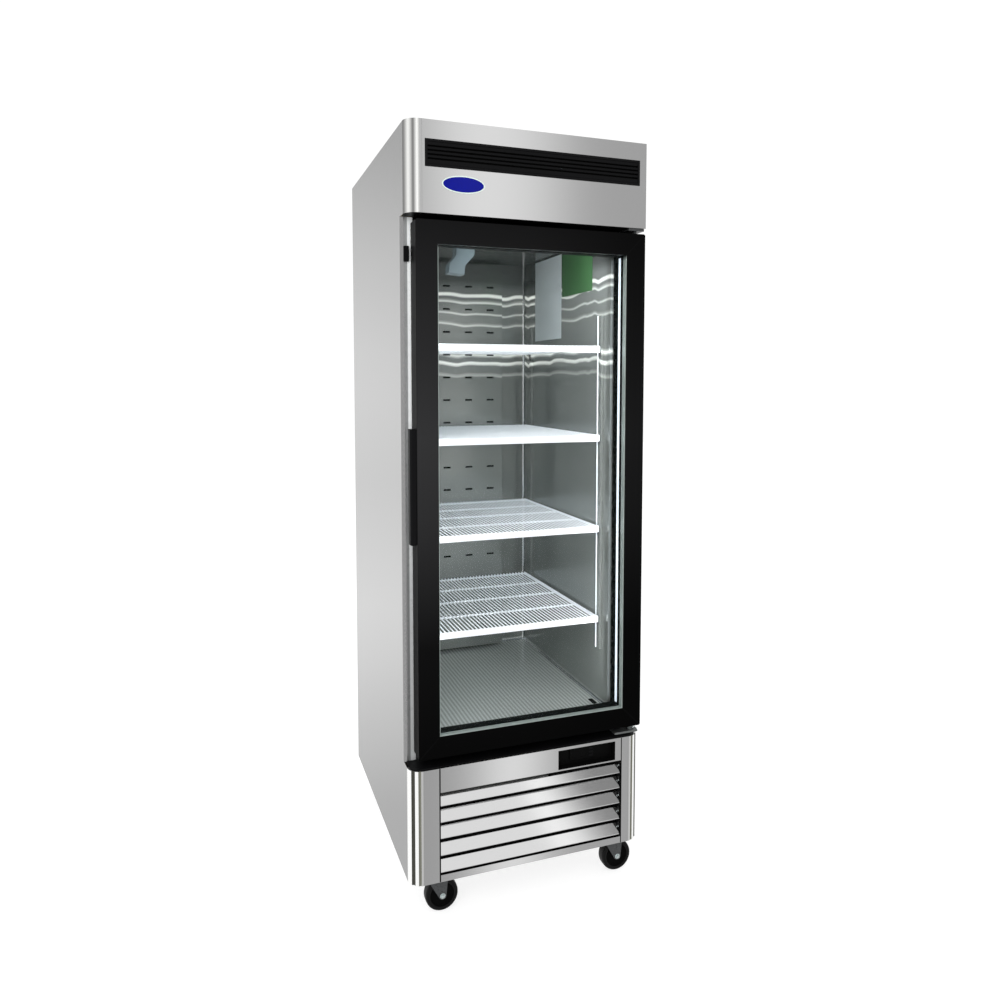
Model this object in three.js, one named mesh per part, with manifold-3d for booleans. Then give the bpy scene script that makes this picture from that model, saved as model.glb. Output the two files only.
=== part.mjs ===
// A one-door glass merchandiser refrigerator on four swivel casters, as an assembly of its real pieces.
// Millimetres, +Z up. The front faces -Y, +X is to the right of somebody facing it, and the origin is
// on the floor under the middle of the cabinet.
import * as THREE from "three";
import { mergeVertices } from "three/addons/utils/BufferGeometryUtils.js";
import Module from "manifold-3d";

const wasm = await Module();
wasm.setup();

// ---------------------------------------------------------------- driving dimensions
const WIDTH = 686;
const DEPTH = 800;
const HEIGHT = 2110;
const UNDERSIDE = 108; // the lower edge of the cabinet's sides and rail, above the floor
const TRAY_FLOOR = 121; // the underside of the base between them
const SHEET = 1.2; // stainless sheet
const GAP = 0.3; // clearance between pieces that touch

const SIDE = WIDTH / 2;
const DOOR_FRONT = -DEPTH / 2;
const BACK = DEPTH / 2;
const FACE = DOOR_FRONT + 1.6; // front plane of the header and the lower corner posts
const INSIDE = SIDE - SHEET - GAP; // half width between the two side panels

// Heights of the bands that make up the front, from the bottom up.
const RAIL_TOP = 127;
const LOUVRE_TOP = 352;
const DECK = 422; // top of the lower corner posts, with the black deck on them
const DOOR_BOTTOM = 452;
const DOOR_TOP = 1861;
const HEADER_BOTTOM = 1877;

// The fluted corners: the posts below and the trim beside the header.
const CORNER_RADIUS = 36;
const CORNER_SIDE = FACE + CORNER_RADIUS; // where the rounded corner meets the side panel
const CORNER_WALL = 5;
const POST_INNER = 263; // half width between the two posts' flat strips, on the left
const POST_INNER_RIGHT = 283;

// The cabinet's face behind the door, and the food compartment.
const CABINET_FACE = -336;
const FACE_EDGE_RADIUS = 12;
const FACE_WALL = 1.5;
const CAVITY_HALF = 268;
const CAVITY_BACK = 334;
const CAVITY_FLOOR = 489;
const MOUTH_TOP = 1833; // the top of the compartment's mouth, under a lintel
const CAVITY_CEILING = 1867;
const FOAM_TOP = 1945;

// The door, hung on the right.
const DOOR_LEFT = -319;
const DOOR_RIGHT = 341;
const DOOR_BACK = -346;
const SIGHT_LEFT = -261; // the visible glass
const SIGHT_RIGHT = 283;
const SIGHT_BOTTOM = 510;
const SIGHT_TOP = 1801;
const GLASS_GRIP = 12.5; // how far the panes reach into the frame
const HINGE_X = 322;
const HINGE_Y = -373;
const PIN_RADIUS = 5;

// Shelves and their uprights.
const SHELF_HEIGHTS = [1553, 1294, 1026, 756];
const SHELF_HALF = 254;
const SHELF_FRONT = -300;
const SHELF_BACK = 280;
const SHELF_THICKNESS = 6;
const SHELF_SLOTS = 8;
const PILASTER_DEPTH = 8;
const PILASTER_WIDTH = 16;
const PILASTER_BOTTOM = 652;
const PILASTER_TOP = 1642;
const PILASTER_FRONT_Y = -287;
const PILASTER_REAR_Y = 257;

// The air duct on the back wall.
const DUCT_HALF = 165;
const DUCT_FRONT = 289;
const DUCT_BOTTOM = 499;
const DUCT_TOP = 1857;

// Casters.
const WHEEL_RADIUS = 46;
const WHEEL_WIDTH = 32;
const STEM_X = 268;
const STEM_Y = 345;
const TRAIL = 22; // from the swivel axis to the axle
const CROWN_BOTTOM = 95.5; // the plate at the top of the fork
const CROWN_TOP = 99.5;

// Colour, roughness and metalness of each finish.
const FINISHES = {
  stainless: [0xb9bab8, 0.32, 0.9],
  liner: [0x9da1a0, 0.25, 0.95],
  galvanised: [0x8d9193, 0.5, 0.8],
  black: [0x111214, 0.38, 0.1],
  blackPlastic: [0x16171a, 0.55, 0.0],
  glass: [0xcfe0de, 0.05, 0.0],
  spacer: [0xb4b8ba, 0.35, 0.9],
  whiteWire: [0xf1f3f4, 0.4, 0.0],
  foam: [0xe4d9a8, 0.9, 0.0],
  badge: [0x14307a, 0.3, 0.2],
  lamp: [0xc6dde6, 0.3, 0.0],
  rubber: [0x0d0d0e, 0.7, 0.0],
  castIron: [0x141517, 0.5, 0.4],
  zinc: [0x55585a, 0.4, 0.8],
};

// ---------------------------------------------------------------- geometry helpers

// A closed geometry as a solid that can be joined and cut.
function solidOf(geometry) {
  const bare = geometry.index ? geometry.toNonIndexed() : geometry.clone();
  bare.deleteAttribute("normal");
  bare.deleteAttribute("uv");
  const merged = mergeVertices(bare, 1e-4);
  return new wasm.Manifold(
    new wasm.Mesh({
      numProp: 3,
      vertProperties: new Float32Array(merged.getAttribute("position").array),
      triVerts: new Uint32Array(merged.index.array),
    }),
  );
}

function geometryOf(solid) {
  const mesh = solid.getMesh();
  const geometry = new THREE.BufferGeometry();
  geometry.setAttribute("position", new THREE.BufferAttribute(mesh.vertProperties, 3));
  geometry.setIndex(new THREE.BufferAttribute(mesh.triVerts, 1));
  return geometry;
}

function join(...geometries) {
  return geometryOf(geometries.map(solidOf).reduce((all, next) => all.add(next)));
}

function cut(geometry, ...tools) {
  return geometryOf(tools.map(solidOf).reduce((rest, tool) => rest.subtract(tool), solidOf(geometry)));
}

// Moves every vertex to where place(u, v, w) says. It keeps coordinates exact, so that pieces joined
// along a shared plane really share it.
function placed(geometry, place) {
  const position = geometry.getAttribute("position");
  for (let i = 0; i < position.count; i++) {
    position.setXYZ(i, ...place(position.getX(i), position.getY(i), position.getZ(i)));
  }
  return geometry;
}

// A block between two corners.
function block(x0, x1, y0, y1, z0, z1) {
  const corner = (u, v, w) => [u < 0 ? x0 : x1, v < 0 ? y0 : y1, w < 0 ? z0 : z1];
  return placed(new THREE.BoxGeometry(1, 1, 1), corner);
}

// An outline, with or without holes, extruded by 1.
function extruded(outline, holes = []) {
  const toVectors = (points) => points.map(([u, v]) => new THREE.Vector2(u, v));
  const shape = new THREE.Shape(toVectors(outline));
  shape.holes = holes.map((hole) => new THREE.Path(toVectors(hole)));
  return new THREE.ExtrudeGeometry(shape, { depth: 1, bevelEnabled: false });
}

// An outline in X and Y, from z0 up to z1.
function prismZ(outline, z0, z1, holes) {
  return placed(extruded(outline, holes), (u, v, w) => [u, v, w < 0.5 ? z0 : z1]);
}

// An outline in Y and Z, from x0 across to x1.
function prismX(outline, x0, x1) {
  return placed(extruded(outline), (u, v, w) => [w < 0.5 ? x0 : x1, u, v]);
}

// An outline in X and Z, from y0 back to y1.
function prismY(outline, y0, y1, holes) {
  return placed(extruded(outline, holes), (u, v, w) => [u, w < 0.5 ? y1 : y0, v]);
}

// The four corners of a rectangle, anticlockwise.
function rectangle(u0, u1, v0, v1) {
  return [
    [u0, v0],
    [u1, v0],
    [u1, v1],
    [u0, v1],
  ];
}

// Points along an arc, angles in degrees from the first axis.
function arc(u, v, radius, from, to, steps) {
  return Array.from({ length: steps + 1 }, (_, i) => {
    const angle = THREE.MathUtils.degToRad(from + ((to - from) * i) / steps);
    return [u + radius * Math.cos(angle), v + radius * Math.sin(angle)];
  });
}

function circle(u, v, radius, steps) {
  return arc(u, v, radius, 0, 360, steps).slice(0, steps);
}

function roundedRectangle(u0, u1, v0, v1, radius) {
  return [
    ...arc(u0 + radius, v0 + radius, radius, 180, 270, 4),
    ...arc(u1 - radius, v0 + radius, radius, 270, 360, 4),
    ...arc(u1 - radius, v1 - radius, radius, 0, 90, 4),
    ...arc(u0 + radius, v1 - radius, radius, 90, 180, 4),
  ];
}

// A plan symmetrical in X, straight at the rear and with both front corners rounded.
function roundedFront(half, front, rear, radius, steps) {
  return [
    [half, rear],
    [-half, rear],
    ...arc(-half + radius, front + radius, radius, 180, 270, steps),
    ...arc(half - radius, front + radius, radius, 270, 360, steps),
  ];
}

// A rectangle's limits moved outwards on every side.
function grown([u0, u1, v0, v1], by) {
  return [u0 - by, u1 + by, v0 - by, v1 + by];
}

// A frame of four bars between an outer and an inner rectangle in X and Z.
function ring(outer, inner, y0, y1) {
  return prismY(rectangle(...outer), y0, y1, [rectangle(...inner).reverse()]);
}

// Round rods along the three axes, between two stations.
function rodZ(x, y, radius, z0, z1, steps = 20) {
  return prismZ(circle(x, y, radius, steps), z0, z1);
}

function rodY(x, z, radius, y0, y1, steps = 20) {
  return prismY(circle(x, z, radius, steps), y0, y1);
}

const fridge = new THREE.Group();

// One named piece of the assembly, in a finish of its own.
function piece(name, finish, geometry, parent = fridge) {
  const [color, roughness, metalness] = FINISHES[finish];
  const mesh = new THREE.Mesh(geometry, new THREE.MeshStandardMaterial({ color, roughness, metalness }));
  mesh.name = name;
  parent.add(mesh);
  return mesh;
}

// ---------------------------------------------------------------- outer cabinet

// A side panel's sheet, notched beside the door, where the cabinet's face takes its place.
function sidePanel(x0, headerFront) {
  const notch = CABINET_FACE + FACE_EDGE_RADIUS;
  const outline = [
    [CORNER_SIDE, UNDERSIDE],
    [BACK, UNDERSIDE],
    [BACK, HEIGHT],
    [headerFront, HEIGHT],
    [headerFront, HEADER_BOTTOM],
    [notch, HEADER_BOTTOM],
    [notch, DECK],
    [CORNER_SIDE, DECK],
  ];
  return prismX(outline, x0, x0 + SHEET);
}

// The stainless face round the compartment's mouth, with rounded upright edges.
function faceFrame() {
  const z0 = DECK + GAP;
  const z1 = HEADER_BOTTOM - GAP;
  const rear = CABINET_FACE + FACE_EDGE_RADIUS + GAP;
  const plan = roundedFront(SIDE, CABINET_FACE, rear - 2 * GAP, FACE_EDGE_RADIUS - 2 * GAP, 5);
  const outside = prismZ(plan, z0, z1);
  const hollow = prismZ(
    roundedFront(SIDE - FACE_WALL, CABINET_FACE + FACE_WALL, rear + 1, FACE_EDGE_RADIUS - FACE_WALL, 5),
    z0 - 1,
    z1 + 1,
  );
  const mouthMargin = 3;
  const mouth = block(
    -CAVITY_HALF - mouthMargin,
    CAVITY_HALF + mouthMargin,
    CABINET_FACE - 1,
    CABINET_FACE + FACE_WALL + 1,
    CAVITY_FLOOR - mouthMargin,
    MOUTH_TOP + mouthMargin,
  );
  return cut(outside, hollow, mouth);
}

// Foam cast between the outer panels and the liner.
function insulation() {
  const linerOutside = CAVITY_HALF + SHEET + GAP;
  const half = SIDE - FACE_WALL - GAP;
  const front = CABINET_FACE + FACE_WALL + GAP;
  const plan = roundedFront(half, front, BACK - SHEET - GAP, FACE_EDGE_RADIUS, 5);
  const cavity = block(
    -linerOutside,
    linerOutside,
    CABINET_FACE,
    CAVITY_BACK + SHEET + GAP,
    CAVITY_FLOOR - SHEET - GAP,
    CAVITY_CEILING + SHEET + GAP,
  );
  return cut(prismZ(plan, DECK + GAP, FOAM_TOP), cavity);
}

// The bright liner, a sheet box open to the front below its lintel.
function liner() {
  const lintel = CABINET_FACE + FACE_WALL + GAP;
  const room = (front, ceiling, sheet) =>
    block(
      -CAVITY_HALF - sheet,
      CAVITY_HALF + sheet,
      front,
      CAVITY_BACK + sheet,
      CAVITY_FLOOR - sheet,
      ceiling + sheet,
    );
  const outside = join(room(CABINET_FACE + GAP, MOUTH_TOP, SHEET), room(lintel, CAVITY_CEILING, SHEET));
  return cut(outside, room(CABINET_FACE - 1, MOUTH_TOP, 0), room(lintel + SHEET, CAVITY_CEILING, 0));
}

// The cover over the top, stepped round the header's flange and its corner trim.
function topPanel() {
  const flangeBack = FACE + 30;
  const outline = [
    [-INSIDE, CORNER_SIDE + GAP],
    [-CORNER_TRIM_INNER + 2 * GAP, CORNER_SIDE + GAP],
    [-CORNER_TRIM_INNER + 2 * GAP, flangeBack + GAP],
    [INSIDE, flangeBack + GAP],
    [INSIDE, BACK - SHEET - GAP],
    [-INSIDE, BACK - SHEET - GAP],
  ];
  return prismZ(outline, HEIGHT - SHEET, HEIGHT);
}

// The slotted cover over the machine compartment, with a hole for the mains gland.
const GLAND = { x: 285, z: 206, radius: 12 };
function rearCover() {
  const plate = block(-INSIDE, INSIDE, BACK - SHEET, BACK, UNDERSIDE + 2, DECK - GAP);
  const rows = [190, 230, 270, 310, 350];
  const columns = [-230, -110, 10, 130];
  const slots = rows.flatMap((z) =>
    columns.map((x) => block(x - 45, x + 45, BACK - SHEET - 1, BACK + 1, z - 4, z + 4)),
  );
  const glandHole = rodY(GLAND.x, GLAND.z, GLAND.radius + 2, BACK - SHEET - 1, BACK + 1);
  return cut(plate, glandHole, ...slots);
}

// ---------------------------------------------------------------- header

const CORNER_TRIM_INNER = 301;
const GRILLE = { x0: -293, x1: 322, z0: 1993, z1: 2062 };
const GRILLE_RIM = 5;

// Depth of the two grooves along the rounded corner, angle in degrees from the front.
function fluteDepth(angle) {
  const grooves = [
    { from: 9, to: 19, depth: 2 },
    { from: 36, to: 54, depth: 3 },
  ];
  const inside = grooves.find((groove) => angle > groove.from && angle < groove.to);
  if (!inside) return 0;
  const along = (angle - inside.from) / (inside.to - inside.from);
  return inside.depth * Math.sin(Math.PI * along) ** 0.7;
}

// Plan of a right-hand fluted corner whose flat strip starts at x = inner.
function flutedPlan(inner) {
  const centreX = SIDE - CORNER_RADIUS;
  const steps = 45;
  const outer = Array.from({ length: steps + 1 }, (_, i) => {
    const degrees = (90 * i) / steps;
    const angle = THREE.MathUtils.degToRad(degrees);
    const radius = CORNER_RADIUS - fluteDepth(degrees);
    return [centreX + radius * Math.sin(angle), CORNER_SIDE - radius * Math.cos(angle)];
  });
  const lining = arc(centreX, CORNER_SIDE, CORNER_RADIUS - CORNER_WALL, 0, -90, 9);
  return [[inner, FACE], ...outer, ...lining, [inner, FACE + CORNER_WALL]];
}

function mirrored(outline) {
  return outline.map(([x, y]) => [-x, y]).reverse();
}

// Closed at both ends by caps that fill the corner's quarter round.
function headerCornerTrim() {
  const z0 = HEADER_BOTTOM;
  const shell = prismZ(mirrored(flutedPlan(CORNER_TRIM_INNER)), z0, HEIGHT);
  const reach = CORNER_RADIUS - CORNER_WALL + 1;
  const quarter = [
    [SIDE - CORNER_RADIUS - 6, CORNER_SIDE],
    [SIDE - CORNER_RADIUS - 6, FACE + CORNER_WALL - 1],
    ...arc(SIDE - CORNER_RADIUS, CORNER_SIDE, reach, -90, 0, 9),
  ];
  const cap = (from, to) => prismZ(mirrored(quarter), from, to);
  return join(shell, cap(z0, z0 + SHEET), cap(HEIGHT - SHEET, HEIGHT));
}

// The front plate with its top and bottom flanges and the window for the vent grille.
function headerPanel() {
  const left = -CORNER_TRIM_INNER + GAP;
  const plate = block(left, SIDE, FACE, FACE + SHEET, HEADER_BOTTOM, HEIGHT);
  const flange = (back, z0) => block(left, INSIDE, FACE, back, z0, z0 + SHEET);
  const window = block(
    GRILLE.x0 + GRILLE_RIM,
    GRILLE.x1 - GRILLE_RIM,
    FACE - 1,
    FACE + SHEET + 1,
    GRILLE.z0 + GRILLE_RIM,
    GRILLE.z1 - GRILLE_RIM,
  );
  const bottomFlange = flange(CABINET_FACE - GAP, HEADER_BOTTOM);
  const topFlange = flange(FACE + 30, HEIGHT - SHEET);
  return cut(join(plate, bottomFlange, topFlange), window);
}

// A plastic bezel with level bars, open between them: four slots over a broad lower band.
const VENT_SLOTS = [2013.3, 2023.7, 2034.1, 2044.5];
const VENT_SLOT_HEIGHT = 4.2;
function ventGrille() {
  const { x0, x1, z0, z1 } = GRILLE;
  const clear = GRILLE_RIM + 1;
  const outer = [x0, x1, z0, z1];
  const bezel = ring(outer, grown(outer, -clear), DOOR_FRONT, FACE - GAP);
  const collarOuter = grown(outer, -GRILLE_RIM - GAP);
  const collar = ring(collarOuter, grown(outer, -clear - 1), DOOR_FRONT + 0.5, FACE + 8);
  const bottoms = [z0 + clear, ...VENT_SLOTS.map((z) => z + VENT_SLOT_HEIGHT / 2)];
  const tops = [...VENT_SLOTS.map((z) => z - VENT_SLOT_HEIGHT / 2), z1 - clear];
  const bars = bottoms.map((bottom, i) =>
    block(x0 + clear, x1 - clear, DOOR_FRONT + 0.4, FACE + 7, bottom, tops[i]),
  );
  return join(bezel, collar, ...bars);
}

function badge() {
  const plate = prismY(circle(0, 0, 1, 40), DOOR_FRONT, FACE - GAP);
  return plate.scale(58, 1, 22.5).translate(-191, 0, 1954);
}

// ---------------------------------------------------------------- lower front

const WINDOW = { x0: 83, x1: 262, z0: 359, z1: 414 };
const FACEPLATE = { x0: 128, x1: 207, z0: 369, z1: 404, front: -377.5, back: -373.8 };
const BUTTON_HEIGHTS = [376.5, 386.5, 396.5];
const BUTTON = { x: 194, width: 12, height: 6, proud: 1.2 };

function controlStrip() {
  const left = -POST_INNER + GAP * 3;
  const right = POST_INNER_RIGHT - GAP * 3;
  const opening = rectangle(WINDOW.x0, WINDOW.x1, WINDOW.z0, WINDOW.z1).reverse();
  return prismY(rectangle(left, right, LOUVRE_TOP + 3, DECK), FACE, FACE + SHEET, [opening]);
}

// The black pocket behind the window, holed for the thermostat's body.
function controllerBox() {
  const wall = 2.5;
  const front = FACE + SHEET + GAP;
  const back = FACEPLATE.back + GAP + wall;
  const { x0, x1, z0, z1 } = WINDOW;
  const outside = block(x0 - wall, x1 + wall, front, back, z0 - wall, z1 + wall);
  const pocket = block(x0, x1, front - 1, back - wall, z0, z1);
  const behindPlate = grown([FACEPLATE.x0, FACEPLATE.x1, FACEPLATE.z0, FACEPLATE.z1], -3.5);
  const [left, right, bottom, top] = behindPlate;
  const hole = block(left, right, back - wall - 1, back + 1, bottom, top);
  return cut(outside, pocket, hole);
}

// A panel thermostat: the faceplate with a sunk display, and the body behind it.
function thermostat() {
  const { x0, x1, z0, z1, front, back } = FACEPLATE;
  const plate = prismY(roundedRectangle(x0, x1, z0, z1, 3), front, back);
  const body = block(x0 + 5, x1 - 5, back - 1, -320, z0 + 4.5, z1 - 4.5);
  const display = block(x0 + 6, BUTTON.x - 12, front - 1, front + 0.8, z0 + 6, z1 - 6);
  const wells = BUTTON_HEIGHTS.map((z) =>
    block(
      BUTTON.x - BUTTON.width / 2 - GAP,
      BUTTON.x + BUTTON.width / 2 + GAP,
      front - 1,
      back - 0.2,
      z - BUTTON.height / 2 - GAP,
      z + BUTTON.height / 2 + GAP,
    ),
  );
  return cut(join(plate, body), display, ...wells);
}

// A button's cap, on its centre line and with its outer face at y = 0.
function buttonCap() {
  const halfWidth = BUTTON.width / 2;
  const halfHeight = BUTTON.height / 2;
  return prismY(roundedRectangle(-halfWidth, halfWidth, -halfHeight, halfHeight, 1.5), 0, 3.6);
}

// Five sloping blades held between two uprights.
const BLADE_BOTTOMS = [317, 272, 227, 180, 133];
const BLADE_RISE = 25;
const BLADE_LEAN = 21;
function louvreGrille() {
  const wall = 1.6;
  const front = FACE + 0.4;
  const left = -POST_INNER + 1;
  const right = POST_INNER_RIGHT - 1;
  const blade = (z) => {
    const outline = [
      [front, z],
      [front + 14, z],
      [front + 14, z + wall],
      [front + 2, z + wall],
      [front + BLADE_LEAN + wall, z + BLADE_RISE],
      [front + BLADE_LEAN, z + BLADE_RISE],
    ];
    return prismX(outline, left + 2, right - 2);
  };
  const upright = (x) => block(x, x + 3, front + 5, front + 27, RAIL_TOP + 2, LOUVRE_TOP + 2);
  return join(upright(left), upright(right - 3), ...BLADE_BOTTOMS.map(blade));
}

// The floor of the machine compartment, turned up at the sides and along the front.
function baseTray() {
  const left = -POST_INNER + 3 * GAP;
  const right = POST_INNER_RIGHT - 3 * GAP;
  const wall = 1.5;
  const back = BACK - SHEET - GAP;
  const floorPlan = [
    [left, FACE],
    [right, FACE],
    [right, CORNER_SIDE + GAP],
    [INSIDE, CORNER_SIDE + GAP],
    [INSIDE, back],
    [-INSIDE, back],
    [-INSIDE, CORNER_SIDE + GAP],
    [left, CORNER_SIDE + GAP],
  ];
  const floor = prismZ(floorPlan, TRAY_FLOOR, TRAY_FLOOR + wall);
  const rail = block(left, right, FACE, FACE + wall, UNDERSIDE, RAIL_TOP);
  const lip = (x) => block(x, x + wall, CORNER_SIDE + GAP, back, UNDERSIDE, UNDERSIDE + 30);
  return join(floor, rail, lip(-INSIDE), lip(INSIDE - wall));
}

// The black ledge under the door, with an upright flange in front of the cabinet's face.
function sillDeck() {
  const inset = 5;
  const rear = CABINET_FACE - GAP;
  const plan = roundedFront(SIDE - inset, FACE + inset, rear, CORNER_RADIUS - inset, 8);
  const ledge = prismZ(plan, DECK + GAP, DECK + 3);
  const flange = block(-300, 300, rear - 2.7, rear, DECK + GAP, DOOR_BOTTOM - 2);
  return join(ledge, flange);
}

// ---------------------------------------------------------------- machine compartment

const TRAY_TOP = TRAY_FLOOR + 1.5 + GAP;

// A heat exchanger's block of fins on a back plate, fins upright.
function finBlock({ x0, x1, z0, z1, front, back }, count) {
  const pitch = (x1 - x0) / count;
  const root = back - (back - front) * 0.25;
  const teeth = Array.from({ length: count }, (_, i) => {
    const x = x0 + i * pitch;
    return [
      [x, root],
      [x, front],
      [x + pitch * 0.5, front],
      [x + pitch * 0.5, root],
    ];
  }).flat();
  return prismZ([[x0, back], ...teeth, [x1, root], [x1, back]].reverse(), z0, z1);
}

// A hub with flat blades that lean forward, turning about Y, centred on the origin.
function fanWheel(radius, hubRadius, blades, thickness) {
  const hub = rodY(0, 0, hubRadius, -thickness / 2, thickness / 2, 20);
  const vanes = Array.from({ length: blades }, (_, i) => {
    const vane = new THREE.BoxGeometry(radius - hubRadius + 3, 1.6, radius * 0.5);
    vane.rotateX(THREE.MathUtils.degToRad(28));
    vane.translate((radius + hubRadius - 3) / 2, 0, 0);
    return vane.rotateY((2 * Math.PI * i) / blades);
  });
  return join(hub, ...vanes);
}

// A hermetic compressor: a domed can on a foot plate, with two stub pipes.
function compressor() {
  const profile = [
    [0, 0],
    [62, 0],
    [72, 10],
    [74, 60],
    [77, 62],
    [77, 70],
    [74, 72],
    [72, 130],
    [60, 155],
    [35, 168],
    [0, 172],
  ];
  const can = new THREE.LatheGeometry(
    profile.map(([r, z]) => new THREE.Vector2(r, z)),
    28,
  );
  can.rotateX(Math.PI / 2);
  const foot = block(-105, 105, -65, 65, -8, 2);
  return join(can, foot, rodZ(-40, 0, 5, 150, 195, 10), rodZ(30, 30, 4, 145, 190, 10));
}

// An open tray that catches and evaporates the defrost water.
function drainPan() {
  return cut(block(-300, -70, 60, 340, TRAY_TOP, 161), block(-297, -73, 63, 337, TRAY_TOP + 3, 162));
}

// The mains box, with the threaded cable gland that comes out through the rear cover.
function electricalBox() {
  const box = block(238, 332, 300, 384, TRAY_TOP, 256);
  const nut = rodY(GLAND.x, GLAND.z, GLAND.radius + 5, 383, 391, 6);
  return join(box, nut, rodY(GLAND.x, GLAND.z, GLAND.radius, 383, BACK - 0.5));
}

const CONDENSER = { x0: -230, x1: 70, z0: 124, z1: 388, front: -330, back: -290 };
const CONDENSER_FAN = { x: -80, y: -266, z: 254, radius: 104 };

// The plate behind the condenser, with the fan's ring and the motor on its bracket.
function fanShroud() {
  const { x, z, radius } = CONDENSER_FAN;
  const front = CONDENSER.back + GAP;
  const throat = radius + 7;
  const outline = rectangle(CONDENSER.x0, CONDENSER.x1, CONDENSER.z0, CONDENSER.z1);
  const plate = prismY(outline, front, front + 3, [circle(x, z, throat, 28).reverse()]);
  const tunnel = prismY(circle(x, z, throat + 3, 28), front + 2, front + 36, [
    circle(x, z, throat, 28).reverse(),
  ]);
  const arm = (side) => block(x + side * 128 - 8, x + side * 128 + 8, front + 2, front + 48, z - 12, z + 12);
  const strap = block(x - 136, x + 136, front + 45, front + 48, z - 12, z + 12);
  const motor = rodY(x, z, 32, front + 40, front + 80);
  return join(plate, tunnel, arm(-1), arm(1), strap, motor);
}

// ---------------------------------------------------------------- compartment fittings

const DUCT_COLUMNS = [-120, -40, 40, 120];
const DUCT_ROWS = Array.from({ length: 13 }, (_, i) => 1779 - 79 * i);

// A folded cover on the back wall with rows of short air slots.
function ductPanel() {
  const rear = CAVITY_BACK - GAP;
  const outside = block(-DUCT_HALF, DUCT_HALF, DUCT_FRONT, rear, DUCT_BOTTOM, DUCT_TOP);
  const inside = block(
    -DUCT_HALF + SHEET,
    DUCT_HALF - SHEET,
    DUCT_FRONT + SHEET,
    rear + 1,
    DUCT_BOTTOM + SHEET,
    DUCT_TOP - SHEET,
  );
  const slots = DUCT_ROWS.flatMap((z) =>
    DUCT_COLUMNS.map((x) => block(x - 13, x + 13, DUCT_FRONT - 1, DUCT_FRONT + SHEET + 1, z - 3, z + 3)),
  );
  return cut(outside, inside, ...slots);
}

const EVAPORATOR = { x0: -150, x1: 150, z0: 1560, z1: 1790, front: 294, back: 331 };
const EVAPORATOR_FAN = { y: 306, z: 1470 };

// The fin block at the top of the duct, with the fan's motor hung under it.
function evaporatorCoil() {
  const fins = finBlock(EVAPORATOR, 20);
  const strap = block(-14, 14, 325, 331, EVAPORATOR_FAN.z, 1562);
  const motor = rodY(0, EVAPORATOR_FAN.z, 24, 318, 331);
  return join(fins, strap, motor);
}

// A shelf as a slotted plate with a lip along its front, top face at z = 0.
function shelf() {
  const border = 14;
  const slotPitch = (2 * (SHELF_HALF - border)) / SHELF_SLOTS;
  const middle = (SHELF_FRONT + SHELF_BACK) / 2;
  const rows = [
    [SHELF_FRONT + border, middle - border / 2],
    [middle + border / 2, SHELF_BACK - border],
  ];
  const slots = rows.flatMap(([y0, y1]) =>
    Array.from({ length: SHELF_SLOTS }, (_, i) => {
      const x = -SHELF_HALF + border + slotPitch * (i + 0.5);
      return block(x - slotPitch * 0.32, x + slotPitch * 0.32, y0, y1, -SHELF_THICKNESS - 1, 1);
    }),
  );
  const plate = block(-SHELF_HALF, SHELF_HALF, SHELF_FRONT, SHELF_BACK, -SHELF_THICKNESS, 0);
  const lip = block(-SHELF_HALF, SHELF_HALF, SHELF_FRONT, SHELF_FRONT + 4, -20, -1);
  return cut(join(plate, lip), ...slots);
}

// A channel with slots for the shelf clips, its face at x = 0 and its sides running to +X.
function pilaster() {
  const half = PILASTER_WIDTH / 2;
  const height = PILASTER_TOP - PILASTER_BOTTOM;
  const wall = 1.5;
  const channel = [
    [0, -half],
    [PILASTER_DEPTH, -half],
    [PILASTER_DEPTH, -half + wall],
    [wall, -half + wall],
    [wall, half - wall],
    [PILASTER_DEPTH, half - wall],
    [PILASTER_DEPTH, half],
    [0, half],
  ];
  const slots = Array.from({ length: 10 }, (_, i) => {
    const z = 26 + i * 101.6;
    return block(-1, wall + 1, -3, 3, z, z + 14);
  });
  return cut(prismZ(channel, 0, height), ...slots);
}

// The translucent lamp cover on the ceiling: a block that steps down and to the left.
const LAMP = { x: -135, y: -220, depth: 40 };
function lampCover() {
  const profile = [
    [32, CAVITY_CEILING - GAP],
    [32, 1807],
    [4, 1776],
    [2, 1750],
    [-44, 1754],
    [-42, 1780],
    [-22, 1804],
    [-22, CAVITY_CEILING - GAP],
  ];
  return prismY(profile.reverse(), 0, LAMP.depth);
}

// ---------------------------------------------------------------- door

const PANE = [
  SIGHT_LEFT - GLASS_GRIP,
  SIGHT_RIGHT + GLASS_GRIP,
  SIGHT_BOTTOM - GLASS_GRIP,
  SIGHT_TOP + GLASS_GRIP,
];
const OUTER_PANE_Y = [-396.5, -392.5];
const INNER_PANE_Y = [-377, -373];

// Four mitred bars round the glass, rebated for the panes and bored for the hinge pins.
function doorFrame() {
  const outline = roundedRectangle(DOOR_LEFT, DOOR_RIGHT, DOOR_BOTTOM, DOOR_TOP, 5);
  const sight = rectangle(SIGHT_LEFT, SIGHT_RIGHT, SIGHT_BOTTOM, SIGHT_TOP).reverse();
  const bars = prismY(outline, DOOR_FRONT, DOOR_BACK, [sight]);
  const rebate = prismY(rectangle(...grown(PANE, 0.5)), OUTER_PANE_Y[0] - 0.5, INNER_PANE_Y[1] + 0.5);
  const bore = (z0, z1) => rodZ(HINGE_X, HINGE_Y, PIN_RADIUS + 0.3, z0, z1);
  return cut(bars, rebate, bore(DOOR_BOTTOM - 1, DOOR_BOTTOM + 34), bore(DOOR_TOP - 28, DOOR_TOP + 1));
}

function pane([front, back]) {
  return prismY(rectangle(...PANE), front, back);
}

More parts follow.
